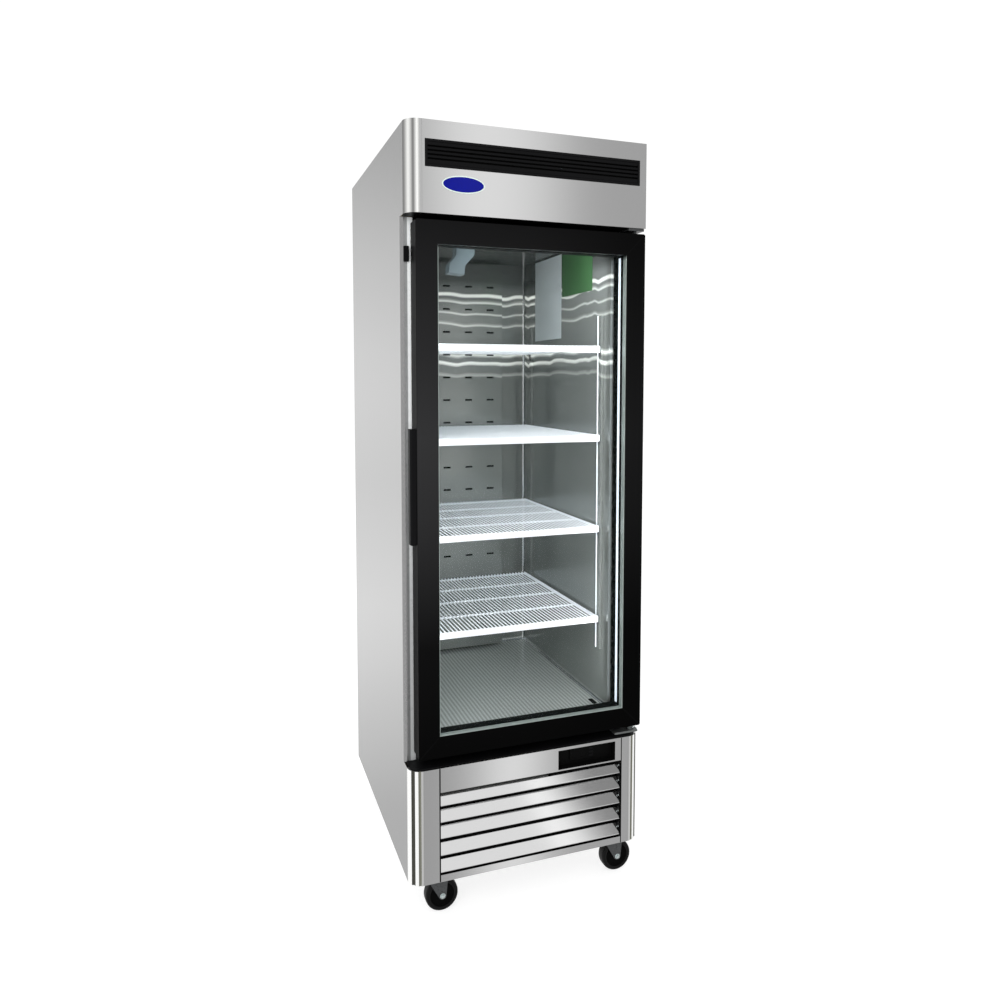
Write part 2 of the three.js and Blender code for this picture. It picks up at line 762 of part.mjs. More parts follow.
// The aluminium bar that keeps the two panes apart.
function glassSpacer() {
  const sight = [SIGHT_LEFT, SIGHT_RIGHT, SIGHT_BOTTOM, SIGHT_TOP];
  return ring(grown(sight, 9), grown(sight, 1), OUTER_PANE_Y[1] + GAP, INNER_PANE_Y[0] - GAP);
}

function doorGasket() {
  const outer = [DOOR_LEFT + 10, HINGE_X - 4, DOOR_BOTTOM + 10, DOOR_TOP - 10];
  return ring(outer, grown(outer, -14), DOOR_BACK + GAP, CABINET_FACE - GAP);
}

// A pull on the door's edge: fingers go in behind its lip.
const PULL = { z0: 1026, z1: 1328, left: -336, front: -397, back: -366 };
function doorHandle() {
  const { left, front, back } = PULL;
  const root = DOOR_LEFT - GAP;
  const outline = [
    [root, back],
    [root - 2.7, back],
    [root - 2.7, front + 6],
    [left + 3.5, front + 6],
    [left + 3.5, front + 23],
    [left, front + 23],
    ...arc(left + 5, front + 5, 5, 180, 270, 4),
    [root, front],
  ];
  const shell = prismZ(outline, PULL.z0, PULL.z1);
  const cap = (z) => block(left + 1, root - 1, front + 4, front + 23, z, z + 4);
  return join(shell, cap(PULL.z0), cap(PULL.z1 - 4));
}

// A hinge plate above the door, with its pin reaching down into the door.
function topHinge() {
  const plate = block(292, 340, -394, CABINET_FACE - 2, DOOR_TOP + 9, HEADER_BOTTOM - GAP);
  return join(plate, rodZ(HINGE_X, HINGE_Y, PIN_RADIUS, DOOR_TOP - 18, DOOR_TOP + 10));
}

// The plate that carries the door, with its pin, its collar and the foot on the deck.
function bottomHinge() {
  const foot = DECK + 3 + GAP;
  const rear = CABINET_FACE - GAP - 2.7 - GAP;
  const plate = block(262, 336, -395, rear, foot + 6, foot + 11.5);
  const heel = block(262, 336, rear - 5, rear, foot, foot + 8);
  const collar = rodZ(HINGE_X, HINGE_Y, 10, foot + 11, DOOR_BOTTOM - 0.5);
  const pin = rodZ(HINGE_X, HINGE_Y, PIN_RADIUS, foot + 11, DOOR_BOTTOM + 24);
  return join(plate, heel, collar, pin);
}

// ---------------------------------------------------------------- casters

// The cross channel under the base, with the two swivel seats hanging from it.
function casterRail() {
  const top = TRAY_FLOOR - GAP;
  const channel = block(-325, 325, -38, 38, top - 5, top);
  const seatBottom = CROWN_TOP + 1;
  const seat = (x) => {
    const ring = rodZ(x, 0, 25, seatBottom, top - 4, 24);
    return cut(ring, rodZ(x, 0, 7, seatBottom - 1, top - 3, 16));
  };
  return join(channel, seat(-STEM_X), seat(STEM_X));
}

// A swivel fork round its stem: crown, two tapering legs and the axle between them.
function casterFork() {
  const legInner = WHEEL_WIDTH / 2 + 1.5;
  const legOuter = legInner + 3;
  const legTop = CROWN_TOP - 2;
  const legRear = TRAIL + 16;
  const crown = join(
    rodZ(0, 0, 26, CROWN_BOTTOM, CROWN_TOP, 24),
    block(-14, legRear, -legOuter, legOuter, CROWN_BOTTOM, legTop),
    rodZ(0, 0, 6.4, CROWN_TOP - 1, CROWN_TOP + 9.5, 16),
  );
  const outline = [
    [-14, legTop],
    ...arc(TRAIL, WHEEL_RADIUS, 10, 210, 360, 8),
    [legRear, legTop],
  ];
  const leg = (y0, y1) => prismY(outline, y0, y1);
  const axle = rodY(TRAIL, WHEEL_RADIUS, 5, -legOuter, legOuter, 16);
  return join(crown, leg(-legOuter, -legInner), leg(legInner, legOuter), axle);
}

// A wheel about its own axle: hub, dished web and a tread with rounded shoulders.
function casterWheel() {
  const half = WHEEL_WIDTH / 2;
  const bore = 5.4;
  const profile = [
    [bore, -half],
    [12, -half],
    [14, -half + 5],
    [WHEEL_RADIUS - 12, -half + 5],
    [WHEEL_RADIUS - 8, -half],
    [WHEEL_RADIUS - 2, -half + 1],
    [WHEEL_RADIUS, -half + 5],
    [WHEEL_RADIUS, half - 5],
    [WHEEL_RADIUS - 2, half - 1],
    [WHEEL_RADIUS - 8, half],
    [WHEEL_RADIUS - 12, half - 5],
    [14, half - 5],
    [12, half],
    [bore, half],
    [bore, -half],
  ];
  return new THREE.LatheGeometry(
    profile.map(([r, y]) => new THREE.Vector2(r, y)),
    24,
  );
}

// ---------------------------------------------------------------- assembly

piece("side_panel_left", "stainless", sidePanel(-SIDE, CORNER_SIDE));
piece("side_panel_right", "stainless", sidePanel(SIDE - SHEET, FACE + SHEET + GAP));
piece("back_panel", "stainless", block(-INSIDE, INSIDE, BACK - SHEET, BACK, DECK, HEIGHT));
piece("top_panel", "stainless", topPanel());
piece("insulation_foam", "foam", insulation());
piece("liner", "liner", liner());
piece("face_frame", "stainless", faceFrame());
piece("rear_cover", "galvanised", rearCover());

piece("header_panel", "stainless", headerPanel());
piece("header_corner_trim", "stainless", headerCornerTrim());
piece("vent_grille", "blackPlastic", ventGrille());
piece("badge", "badge", badge());

piece("corner_post_left", "stainless", prismZ(mirrored(flutedPlan(POST_INNER)), UNDERSIDE, DECK));
piece("corner_post_right", "stainless", prismZ(flutedPlan(POST_INNER_RIGHT), UNDERSIDE, DECK));
piece("control_strip", "stainless", controlStrip());
piece("controller_box", "blackPlastic", controllerBox());
piece("thermostat", "blackPlastic", thermostat());
BUTTON_HEIGHTS.forEach((z, i) => {
  const cap = piece(`thermostat_button_${i + 1}`, "blackPlastic", buttonCap());
  cap.position.set(BUTTON.x, FACEPLATE.front - BUTTON.proud, z);
});
piece("louvre_grille", "stainless", louvreGrille());
piece("base_tray", "stainless", baseTray());
piece("sill_deck", "blackPlastic", sillDeck());

piece("compressor", "castIron", compressor()).position.set(110, 150, TRAY_TOP + 8);
piece("condenser_coil", "galvanised", finBlock(CONDENSER, 24));
piece("fan_shroud", "galvanised", fanShroud());
const condenserFan = piece("condenser_fan", "galvanised", fanWheel(CONDENSER_FAN.radius, 28, 5, 22));
condenserFan.position.set(CONDENSER_FAN.x, CONDENSER_FAN.y, CONDENSER_FAN.z);
piece("drain_pan", "blackPlastic", drainPan());
piece("electrical_box", "galvanised", electricalBox());

piece("duct_panel", "liner", ductPanel());
piece("evaporator_coil", "galvanised", evaporatorCoil());
const evaporatorFan = piece("evaporator_fan", "blackPlastic", fanWheel(60, 18, 4, 14));
evaporatorFan.position.set(0, EVAPORATOR_FAN.y, EVAPORATOR_FAN.z);
SHELF_HEIGHTS.forEach((z, i) => {
  piece(`shelf_${i + 1}`, "whiteWire", shelf()).position.z = z;
});
const pilasterX = CAVITY_HALF - GAP - PILASTER_DEPTH;
for (const [end, y] of [
  ["front", PILASTER_FRONT_Y],
  ["rear", PILASTER_REAR_Y],
]) {
  piece(`pilaster_${end}_right`, "liner", pilaster()).position.set(pilasterX, y, PILASTER_BOTTOM);
  const left = piece(`pilaster_${end}_left`, "liner", pilaster());
  left.rotation.z = Math.PI;
  left.position.set(-pilasterX, y, PILASTER_BOTTOM);
}
piece("lamp_cover", "lamp", lampCover()).position.set(LAMP.x, LAMP.y, 0);

const door = new THREE.Group();
fridge.add(door);
piece("door_frame", "black", doorFrame(), door);
piece("outer_glass", "glass", pane(OUTER_PANE_Y), door);
piece("glass_spacer", "spacer", glassSpacer(), door);
piece("inner_glass", "glass", pane(INNER_PANE_Y), door);
piece("door_gasket", "rubber", doorGasket(), door);
piece("door_handle", "black", doorHandle(), door);
piece("top_hinge_bracket", "zinc", topHinge());
piece("bottom_hinge_bracket", "zinc", bottomHinge());
piece("door_switch", "blackPlastic", block(-336, -322, -342, CABINET_FACE - GAP, 1761, 1801));

for (const [end, y] of [
  ["front", -STEM_Y],
  ["rear", STEM_Y],
]) {
  piece(`caster_rail_${end}`, "zinc", casterRail()).position.y = y;
  for (const [hand, x] of [
    ["left", -STEM_X],
    ["right", STEM_X],
  ]) {
    const caster = new THREE.Group();
    caster.position.set(x, y, 0);
    fridge.add(caster);
    piece(`caster_fork_${end}_${hand}`, "zinc", casterFork(), caster);
    const wheel = piece(`caster_wheel_${end}_${hand}`, "rubber", casterWheel(), caster);
    wheel.position.set(TRAIL, 0, WHEEL_RADIUS);
  }
}

export default fridge;
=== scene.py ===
"""A one-door glass merchandiser refrigerator on four swivel casters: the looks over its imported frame.

Shapes are given in millimetres and become metres as each piece is finished. +Z is up, the front faces
-Y, and +X is to the right of somebody facing it.
"""
import math

import bmesh
import bpy
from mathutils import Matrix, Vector


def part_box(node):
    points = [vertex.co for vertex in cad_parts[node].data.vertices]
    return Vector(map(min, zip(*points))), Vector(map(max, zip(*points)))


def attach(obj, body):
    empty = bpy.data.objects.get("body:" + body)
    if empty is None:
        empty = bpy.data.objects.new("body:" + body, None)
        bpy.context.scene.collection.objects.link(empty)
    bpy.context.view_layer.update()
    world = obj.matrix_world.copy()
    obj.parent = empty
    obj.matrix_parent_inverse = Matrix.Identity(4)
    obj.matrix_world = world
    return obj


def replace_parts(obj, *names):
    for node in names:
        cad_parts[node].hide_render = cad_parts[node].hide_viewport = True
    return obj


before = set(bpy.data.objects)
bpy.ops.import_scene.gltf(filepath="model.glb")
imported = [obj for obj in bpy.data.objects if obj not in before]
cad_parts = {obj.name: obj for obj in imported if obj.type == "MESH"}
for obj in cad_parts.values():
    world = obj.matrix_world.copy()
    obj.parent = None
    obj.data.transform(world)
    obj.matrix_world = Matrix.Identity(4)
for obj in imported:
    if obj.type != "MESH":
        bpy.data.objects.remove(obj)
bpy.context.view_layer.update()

MM = 0.001


class Extent:
    """A CAD node's limits, in millimetres."""

    def __init__(self, node):
        low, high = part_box(node)
        self.x0, self.y0, self.z0 = (value / MM for value in low)
        self.x1, self.y1, self.z1 = (value / MM for value in high)


# ---------------------------------------------------------------- materials

def node(tree, kind, **inputs):
    """A shader node with some of its inputs set."""
    made = tree.nodes.new(kind)
    for key, value in inputs.items():
        made.inputs[key.replace("_", " ")].default_value = value
    return made


def math_node(tree, operation, first, second=None, third=None):
    """A maths node; each operand is a number or a socket."""
    made = tree.nodes.new("ShaderNodeMath")
    made.operation = operation
    for index, operand in enumerate((first, second, third)):
        if operand is None:
            continue
        if isinstance(operand, (int, float)):
            made.inputs[index].default_value = operand
        else:
            tree.links.new(operand, made.inputs[index])
    return made.outputs[0]


def map_range(tree, value, low, high, to_low, to_high, smooth=False):
    """A value carried from one range to another."""
    made = node(tree, "ShaderNodeMapRange", From_Min=low, From_Max=high, To_Min=to_low, To_Max=to_high)
    made.interpolation_type = "SMOOTHSTEP" if smooth else "LINEAR"
    tree.links.new(value, made.inputs["Value"])
    return made.outputs["Result"]


def ramp(tree, value, stops):
    """A colour ramp through (position, colour) stops."""
    made = tree.nodes.new("ShaderNodeValToRGB")
    elements = made.color_ramp.elements
    while len(elements) < len(stops):
        elements.new(0.5)
    for element, (position, color) in zip(elements, stops):
        element.position = position
        element.color = (*color, 1) if len(color) == 3 else color
    tree.links.new(value, made.inputs["Fac"])
    return made.outputs["Color"]


def shaded(color, factor):
    return tuple(min(1.0, channel * factor) for channel in color)


def own_space(tree):
    """The piece's own coordinates."""
    return tree.nodes.new("ShaderNodeTexCoord").outputs["Object"]


def noise(tree, stretch, scale, detail=3.0, distortion=0.0):
    """Noise in the piece's own space, stretched along one or two axes."""
    mapping = tree.nodes.new("ShaderNodeMapping")
    mapping.inputs["Scale"].default_value = stretch
    tree.links.new(own_space(tree), mapping.inputs["Vector"])
    made = node(tree, "ShaderNodeTexNoise", Scale=scale, Detail=detail, Distortion=distortion)
    tree.links.new(mapping.outputs["Vector"], made.inputs["Vector"])
    return made.outputs["Fac"]


def blended(tree, factor, first, second, kind="MIX"):
    """Mixes two colours; the factor and both colours are sockets or values."""
    made = tree.nodes.new("ShaderNodeMix")
    made.data_type = "RGBA"
    made.blend_type = kind
    for key, value in (("Factor", factor), ("A", first), ("B", second)):
        if isinstance(value, bpy.types.NodeSocket):
            tree.links.new(value, made.inputs[key])
        else:
            made.inputs[key].default_value = value
    return made.outputs["Result"]


def chosen(tree, factor, first, second):
    """Mixes two shaders, all three given as sockets."""
    made = tree.nodes.new("ShaderNodeMixShader")
    for index, socket in enumerate((factor, first, second)):
        tree.links.new(socket, made.inputs[index])
    return made.outputs[0]


def surface(name, color, roughness, metallic=0.0, stretch=(1, 1, 1), scale=200.0, spread=0.06,
            rough_spread=0.06, bump=0.0, bump_depth=0.0005, waves=None, blotches=None, specular=0.5,
            alpha=1.0, emission=None, emission_strength=0.0):
    """A procedural material: fine grain in colour, roughness and bump, with optional broad waves.

    waves is (stretch, scale, depth in metres, strength); blotches is (stretch, scale, spread).
    """
    material = bpy.data.materials.new(name)
    material.use_nodes = True
    tree = material.node_tree
    shader = tree.nodes["Principled BSDF"]
    shader.inputs["Metallic"].default_value = metallic
    shader.inputs["Specular IOR Level"].default_value = specular
    shader.inputs["Alpha"].default_value = alpha
    if emission:
        shader.inputs["Emission Color"].default_value = (*emission, 1)
        shader.inputs["Emission Strength"].default_value = emission_strength
    grain = noise(tree, stretch, scale)
    colored = ramp(tree, grain, [(0.25, shaded(color, 1 - spread)), (0.75, shaded(color, 1 + spread))])
    if blotches:
        blotch_stretch, blotch_scale, blotch_spread = blotches
        broad = noise(tree, blotch_stretch, blotch_scale, 2.0)
        tone = map_range(tree, broad, 0.3, 0.7, 1 - blotch_spread, 1 + blotch_spread)
        colored = blended(tree, 1.0, colored, tone, "MULTIPLY")
    tree.links.new(colored, shader.inputs["Base Color"])
    low, high = max(0.02, roughness - rough_spread), min(1.0, roughness + rough_spread)
    tree.links.new(map_range(tree, grain, 0.3, 0.7, low, high), shader.inputs["Roughness"])
    normal = None
    if waves:
        wave_stretch, wave_scale, wave_depth, wave_strength = waves
        broad = noise(tree, wave_stretch, wave_scale, 1.5, distortion=0.4)
        made = node(tree, "ShaderNodeBump", Strength=wave_strength, Distance=wave_depth)
        tree.links.new(broad, made.inputs["Height"])
        normal = made.outputs["Normal"]
    if bump:
        made = node(tree, "ShaderNodeBump", Strength=bump, Distance=bump_depth)
        tree.links.new(grain, made.inputs["Height"])
        if normal:
            tree.links.new(normal, made.inputs["Normal"])
        normal = made.outputs["Normal"]
    if normal:
        tree.links.new(normal, shader.inputs["Normal"])
    return material


def along(tree, axis, low, high):
    """The piece's own X, Y or Z as 0 to 1 between two positions in metres."""
    split = tree.nodes.new("ShaderNodeSeparateXYZ")
    tree.links.new(own_space(tree), split.inputs[0])
    return map_range(tree, split.outputs[axis], low, high, 0, 1)


def tinted(material, factor):
    """Multiplies a material's colour by a socket."""
    tree = material.node_tree
    base = tree.nodes["Principled BSDF"].inputs["Base Color"]
    tree.links.new(blended(tree, 1.0, base.links[0].from_socket, factor, "MULTIPLY"), base)


def painted_grade(material, axis, low, high, stops):
    """Grades a material's colour along an axis through (position in metres, factor) stops; every grade in
    this script is painted light and shade.
    """
    tree = material.node_tree
    placed = [((position - low) / (high - low), (factor,) * 3) for position, factor in stops]
    tinted(material, ramp(tree, along(tree, axis, low, high), placed))


def painted_wire_reflections(material, period, solid, gone, strength):
    """Painted reflections: fine lines across X, period metres apart, on the parts lower than solid, fading
    out by gone.
    """
    tree = material.node_tree
    bands = node(tree, "ShaderNodeTexWave", Scale=math.pi / (10 * period), Distortion=1.0,
                 Detail_Scale=0.3)
    tree.links.new(own_space(tree), bands.inputs["Vector"])
    presence = math_node(tree, "SUBTRACT", 1.0, along(tree, "Z", solid, gone))
    swing = math_node(tree, "MULTIPLY", math_node(tree, "SUBTRACT", bands.outputs["Fac"], 0.5), 2 * strength)
    tinted(material, math_node(tree, "MULTIPLY_ADD", swing, presence, 1.0))


def painted_reflection_streaks(material, low, high, lines, color, wobble):
    """Painted reflections: long soft pale streaks at heights, which also glow; lines is (height, half
    thickness, strength), all in metres.
    """
    tree = material.node_tree
    shader = tree.nodes["Principled BSDF"]
    base = shader.inputs["Base Color"]
    broad = noise(tree, (1.0, 1.0, 0.25), 5.0, 2.0, distortion=0.5)
    shift = map_range(tree, broad, 0.3, 0.7, -wobble / (high - low), wobble / (high - low))
    share = math_node(tree, "ADD", along(tree, "Z", low, high), shift)
    stops = [(0.0, (0, 0, 0))]
    for height, half, strength in sorted(lines):
        for offset, value in ((-half, 0.0), (-half * 0.35, strength), (half * 0.35, strength), (half, 0.0)):
            stops.append(((height + offset - low) / (high - low), (value,) * 3))
    strength = ramp(tree, share, stops)
    tree.links.new(blended(tree, strength, base.links[0].from_socket, (*color, 1)), base)
    shader.inputs["Emission Color"].default_value = (*color, 1)
    tree.links.new(math_node(tree, "MULTIPLY", strength, 0.4), shader.inputs["Emission Strength"])


def spangled(name, color, roughness):
    """Galvanised sheet: patches of zinc crystal."""
    material = surface(name, color, roughness, metallic=0.85, scale=60, spread=0.05)
    tree = material.node_tree
    shader = tree.nodes["Principled BSDF"]
    cells = node(tree, "ShaderNodeTexVoronoi", Scale=70.0)
    tree.links.new(own_space(tree), cells.inputs["Vector"])
    single = tree.nodes.new("ShaderNodeSeparateColor")
    tree.links.new(cells.outputs["Color"], single.inputs["Color"])
    tone = ramp(tree, single.outputs["Red"], [(0.0, shaded(color, 0.82)), (1.0, shaded(color, 1.15))])
    tree.links.new(tone, shader.inputs["Base Color"])
    tree.links.new(
        map_range(tree, single.outputs["Green"], 0, 1, roughness - 0.1, roughness + 0.12),
        shader.inputs["Roughness"],
    )
    return material


STEEL = (0.62, 0.62, 0.62)
steel_front = surface("brushed_steel_front", STEEL, 0.09, 1.0, (1.5, 1, 60), 40, spread=0.012,
                      rough_spread=0.02, bump=0.05, bump_depth=0.0001)
steel_side = surface("brushed_steel_side", STEEL, 0.2, 1.0, (60, 60, 1.5), 40, spread=0.012,
                     rough_spread=0.02, bump=0.03, bump_depth=0.0001,
                     waves=((1.0, 1.0, 0.6), 1.6, 0.0015, 0.25))
steel_trim = surface("polished_trim", (0.90, 0.90, 0.89), 0.14, 1.0, (60, 60, 1.5), 30, spread=0.01,
                     rough_spread=0.02)
header_trim_painted_light = surface("header_trim_painted_light", (0.97, 0.97, 0.95), 0.14, 1.0, (60, 60, 1.5), 30, spread=0.01,
                      rough_spread=0.02)
# Painted reflections and shade: light and dark vertical bands across the header corner's rounded face,
# standing for its bright ribs and shaded groove.
painted_grade(header_trim_painted_light, "X", -0.3435, -0.3000, [(-0.3435, 0.4), (-0.3428, 0.14), (-0.3420, 0.16), (-0.3350, 0.82),
                                            (-0.3320, 0.80), (-0.3239, 0.21), (-0.3215, 0.24), (-0.3133, 1.0),
                                            (-0.3100, 0.95), (-0.3040, 0.64), (-0.3000, 0.64)])
# Painted reflection and painted shade for the corner grooves: dim olive metal in the first groove, near-black
# metal in the second.
groove_painted_reflection = surface("groove_painted_reflection", (0.20, 0.20, 0.165), 0.4, 0.8, (60, 60, 2), 30, spread=0.05)
groove_painted_shade = surface("groove_painted_shade", (0.055, 0.055, 0.045), 0.4, 0.8, (60, 60, 2), 30, spread=0.05)
blade_steel = surface("blade_steel", STEEL, 0.07, 1.0, (1.5, 1, 60), 40, spread=0.012, rough_spread=0.02)
# Steel darkened as painted shade, for the recessed face frame beside the door.
edge_steel_painted_shade = surface("edge_steel_painted_shade", (0.27, 0.27, 0.27), 0.25, 1.0, (60, 60, 1.5), 40, spread=0.02)
liner_steel_painted_light = surface("liner_steel_painted_light", (0.66, 0.70, 0.67), 0.19, 0.5, (1.5, 1.5, 50), 40, spread=0.02,
                      rough_spread=0.03, waves=((1.1, 1.1, 5.0), 1.0, 0.005, 1.0),
                      blotches=((0.7, 0.7, 2.0), 1.7, 0.12))
# Painted light and shade: the liner's floor kept at full brightness, its walls darkened to 0.42 and darker
# still towards the ceiling.
painted_grade(liner_steel_painted_light, "Z", 0.48, 1.88, [(0.48, 1.0), (0.493, 1.0), (0.5, 0.42), (0.75, 0.42), (1.2, 0.42),
                                      (1.77, 0.42), (1.80, 0.22), (1.88, 0.18)])
# Painted reflections of the shelf wires: fine lines across the liner's floor.
painted_wire_reflections(liner_steel_painted_light, 0.0116, 0.49, 0.494, 0.25)
# Painted reflections of the shelf fronts and lights: pale glowing streaks along the liner's walls.
painted_reflection_streaks(liner_steel_painted_light, 0.48, 1.88, [(1.746, 0.008, 1.0), (1.722, 0.006, 0.8), (1.683, 0.005, 0.5),
                                   (1.646, 0.005, 0.5), (1.541, 0.007, 0.9), (1.512, 0.007, 0.9),
                                   (1.472, 0.005, 0.3)], (0.9, 0.93, 0.88), 0.012)
bright_steel = surface("bright_steel", (0.75, 0.77, 0.77), 0.2, 1.0, scale=120, spread=0.04)
satin_black = surface("satin_black", (0.005, 0.005, 0.0055), 0.38, scale=900, spread=0.2, bump=0.12,
                      bump_depth=0.0002, specular=0.08)
frame_black = surface("frame_black", (0.0045, 0.0045, 0.005), 0.38, scale=900, spread=0.2, bump=0.12,
                      bump_depth=0.0002, specular=0.05)
black_plastic = surface("black_plastic", (0.004, 0.004, 0.0044), 0.42, scale=700, spread=0.2, bump=0.15,
                        bump_depth=0.0002, specular=0.07)
deep_black = surface("deep_black", (0.003, 0.003, 0.003), 0.7, scale=300, spread=0.3, specular=0.05)
rubber = surface("rubber", (0.008, 0.008, 0.008), 0.5, scale=500, spread=0.25, bump=0.1, specular=0.2)
tyre = surface("tyre", (0.003, 0.003, 0.003), 0.38, scale=350, spread=0.3, rough_spread=0.08, bump=0.08,
               specular=0.12)
hub_black = surface("hub_black", (0.0012, 0.0012, 0.0012), 0.6, scale=300, spread=0.3, specular=0.04)
glass = surface("clear_glass", (0.04, 0.06, 0.055), 0.03, scale=3, spread=0.02, rough_spread=0.01,
                alpha=0.02)
spacer_silver = surface("spacer_silver", (0.33, 0.38, 0.36), 0.45, 0.3, (1, 1, 1), 160, spread=0.05)
# Painted shade: the spacer turns near black above 1.797 m, under the door's top rail.
painted_grade(spacer_silver, "Z", 0.48, 1.83, [(0.48, 1.0), (1.79, 1.0), (1.797, 0.08), (1.83, 0.08)])
# The white coat glows faintly: painted light on the shelves and pilaster folds.
white_coat_painted_glow = surface("white_coat_painted_glow", (0.86, 0.88, 0.90), 0.35, scale=400, spread=0.02, bump=0.06,
                     emission=(0.8, 0.92, 1.0), emission_strength=0.22)
# Painted highlight: a pale strip that glows faintly, grey at its outer edge and lighter towards the top.
pale_painted_light_strip = surface("pale_painted_light_strip", (0.86, 0.88, 0.88), 0.3, scale=50, spread=0.04,
                     emission=(0.9, 0.95, 0.95), emission_strength=0.02)
painted_grade(pale_painted_light_strip, "X", -0.3325, -0.3120, [(-0.3325, 0.28), (-0.3266, 0.3), (-0.3250, 1.0), (-0.3120, 1.0)])
painted_grade(pale_painted_light_strip, "Z", 0.42, 1.87, [(0.42, 0.45), (0.9, 0.6), (1.35, 1.0), (1.87, 1.0)])
badge_blue = surface("badge_blue", (0.002, 0.005, 0.20), 0.15, 0.0, scale=60, spread=0.08, specular=0.12)
badge_rim = surface("badge_rim", (0.70, 0.80, 0.74), 0.3, 0.3, scale=120, spread=0.05)
lamp_plastic = surface("lamp_plastic", (0.22, 0.28, 0.30), 0.2, scale=90, spread=0.06, alpha=0.62,
                       emission=(0.75, 0.9, 1.0), emission_strength=0.03)
zinc = surface("zinc_plate", (0.075, 0.078, 0.080), 0.34, 0.6, scale=300, spread=0.15, rough_spread=0.1,
               bump=0.08)
grey_zinc = surface("grey_zinc", (0.16, 0.17, 0.17), 0.35, 0.8, scale=260, spread=0.1)
bright_zinc = surface("bright_zinc", (0.62, 0.68, 0.68), 0.22, 1.0, scale=220, spread=0.06)
galvanised = spangled("galvanised", (0.42, 0.44, 0.45), 0.42)
cast_black = surface("cast_black", (0.012, 0.012, 0.013), 0.45, 0.1, scale=260, spread=0.3, bump=0.2)
foam = surface("foam", (0.72, 0.62, 0.34), 0.9, scale=90, spread=0.1, bump=0.4, bump_depth=0.001)
led_light = surface("led_strip", (0.9, 0.95, 1.0), 0.4, scale=60, spread=0.05, emission=(0.72, 0.86, 1.0),
                    emission_strength=0.6)
card_pale = surface("card_pale", (0.57, 0.62, 0.62), 0.55, scale=160, spread=0.04,
                    blotches=((1, 1, 3), 6, 0.05))
card_green = surface("card_green", (0.045, 0.125, 0.045), 0.5, scale=160, spread=0.08,
                     blotches=((1, 3, 1), 5, 0.12))
# Painted light and shade on the door frame: darker towards the bottom and the top with a brighter band
# between, dark on its left side faces and darker towards the right.
door_black_painted_light = surface("door_black_painted_light", (0.024, 0.024, 0.025), 0.38, scale=900, spread=0.2, bump=0.12,
                     bump_depth=0.0002, specular=0.03)
painted_grade(door_black_painted_light, "Z", 0.45, 1.87, [(0.45, 0.03), (0.75, 0.12), (1.1, 0.8), (1.3, 1.0), (1.5, 0.7),
                                     (1.87, 0.25)])
painted_grade(door_black_painted_light, "X", -0.32, 0.35, [(-0.32, 0.1), (-0.3186, 0.1), (-0.3178, 1.0), (-0.25, 0.95),
                                       (0.0, 0.8), (0.28, 0.28), (0.35, 0.25)])


# ---------------------------------------------------------------- shapes

AXES = {
    "x": lambda u, v, w: (w, u, v),
    "y": lambda u, v, w: (u, w, v),
    "z": lambda u, v, w: (u, v, w),
}


def arc(u, v, radius, start, end, steps):
    """Points along an arc, angles in degrees from the first axis."""
    points = []
    for i in range(steps + 1):
        angle = math.radians(start + (end - start) * i / steps)
        points.append((u + radius * math.cos(angle), v + radius * math.sin(angle)))
    return points


def circle(u, v, radius, steps=24):
    return arc(u, v, radius, 0, 360, steps)[:-1]


def rectangle(u0, u1, v0, v1):
    return [(u0, v0), (u1, v0), (u1, v1), (u0, v1)]


def rounded(u0, u1, v0, v1, radius, steps=5):
    return (
        arc(u0 + radius, v0 + radius, radius, 180, 270, steps)
        + arc(u1 - radius, v0 + radius, radius, 270, 360, steps)
        + arc(u1 - radius, v1 - radius, radius, 0, 90, steps)
        + arc(u0 + radius, v1 - radius, radius, 90, 180, steps)
    )


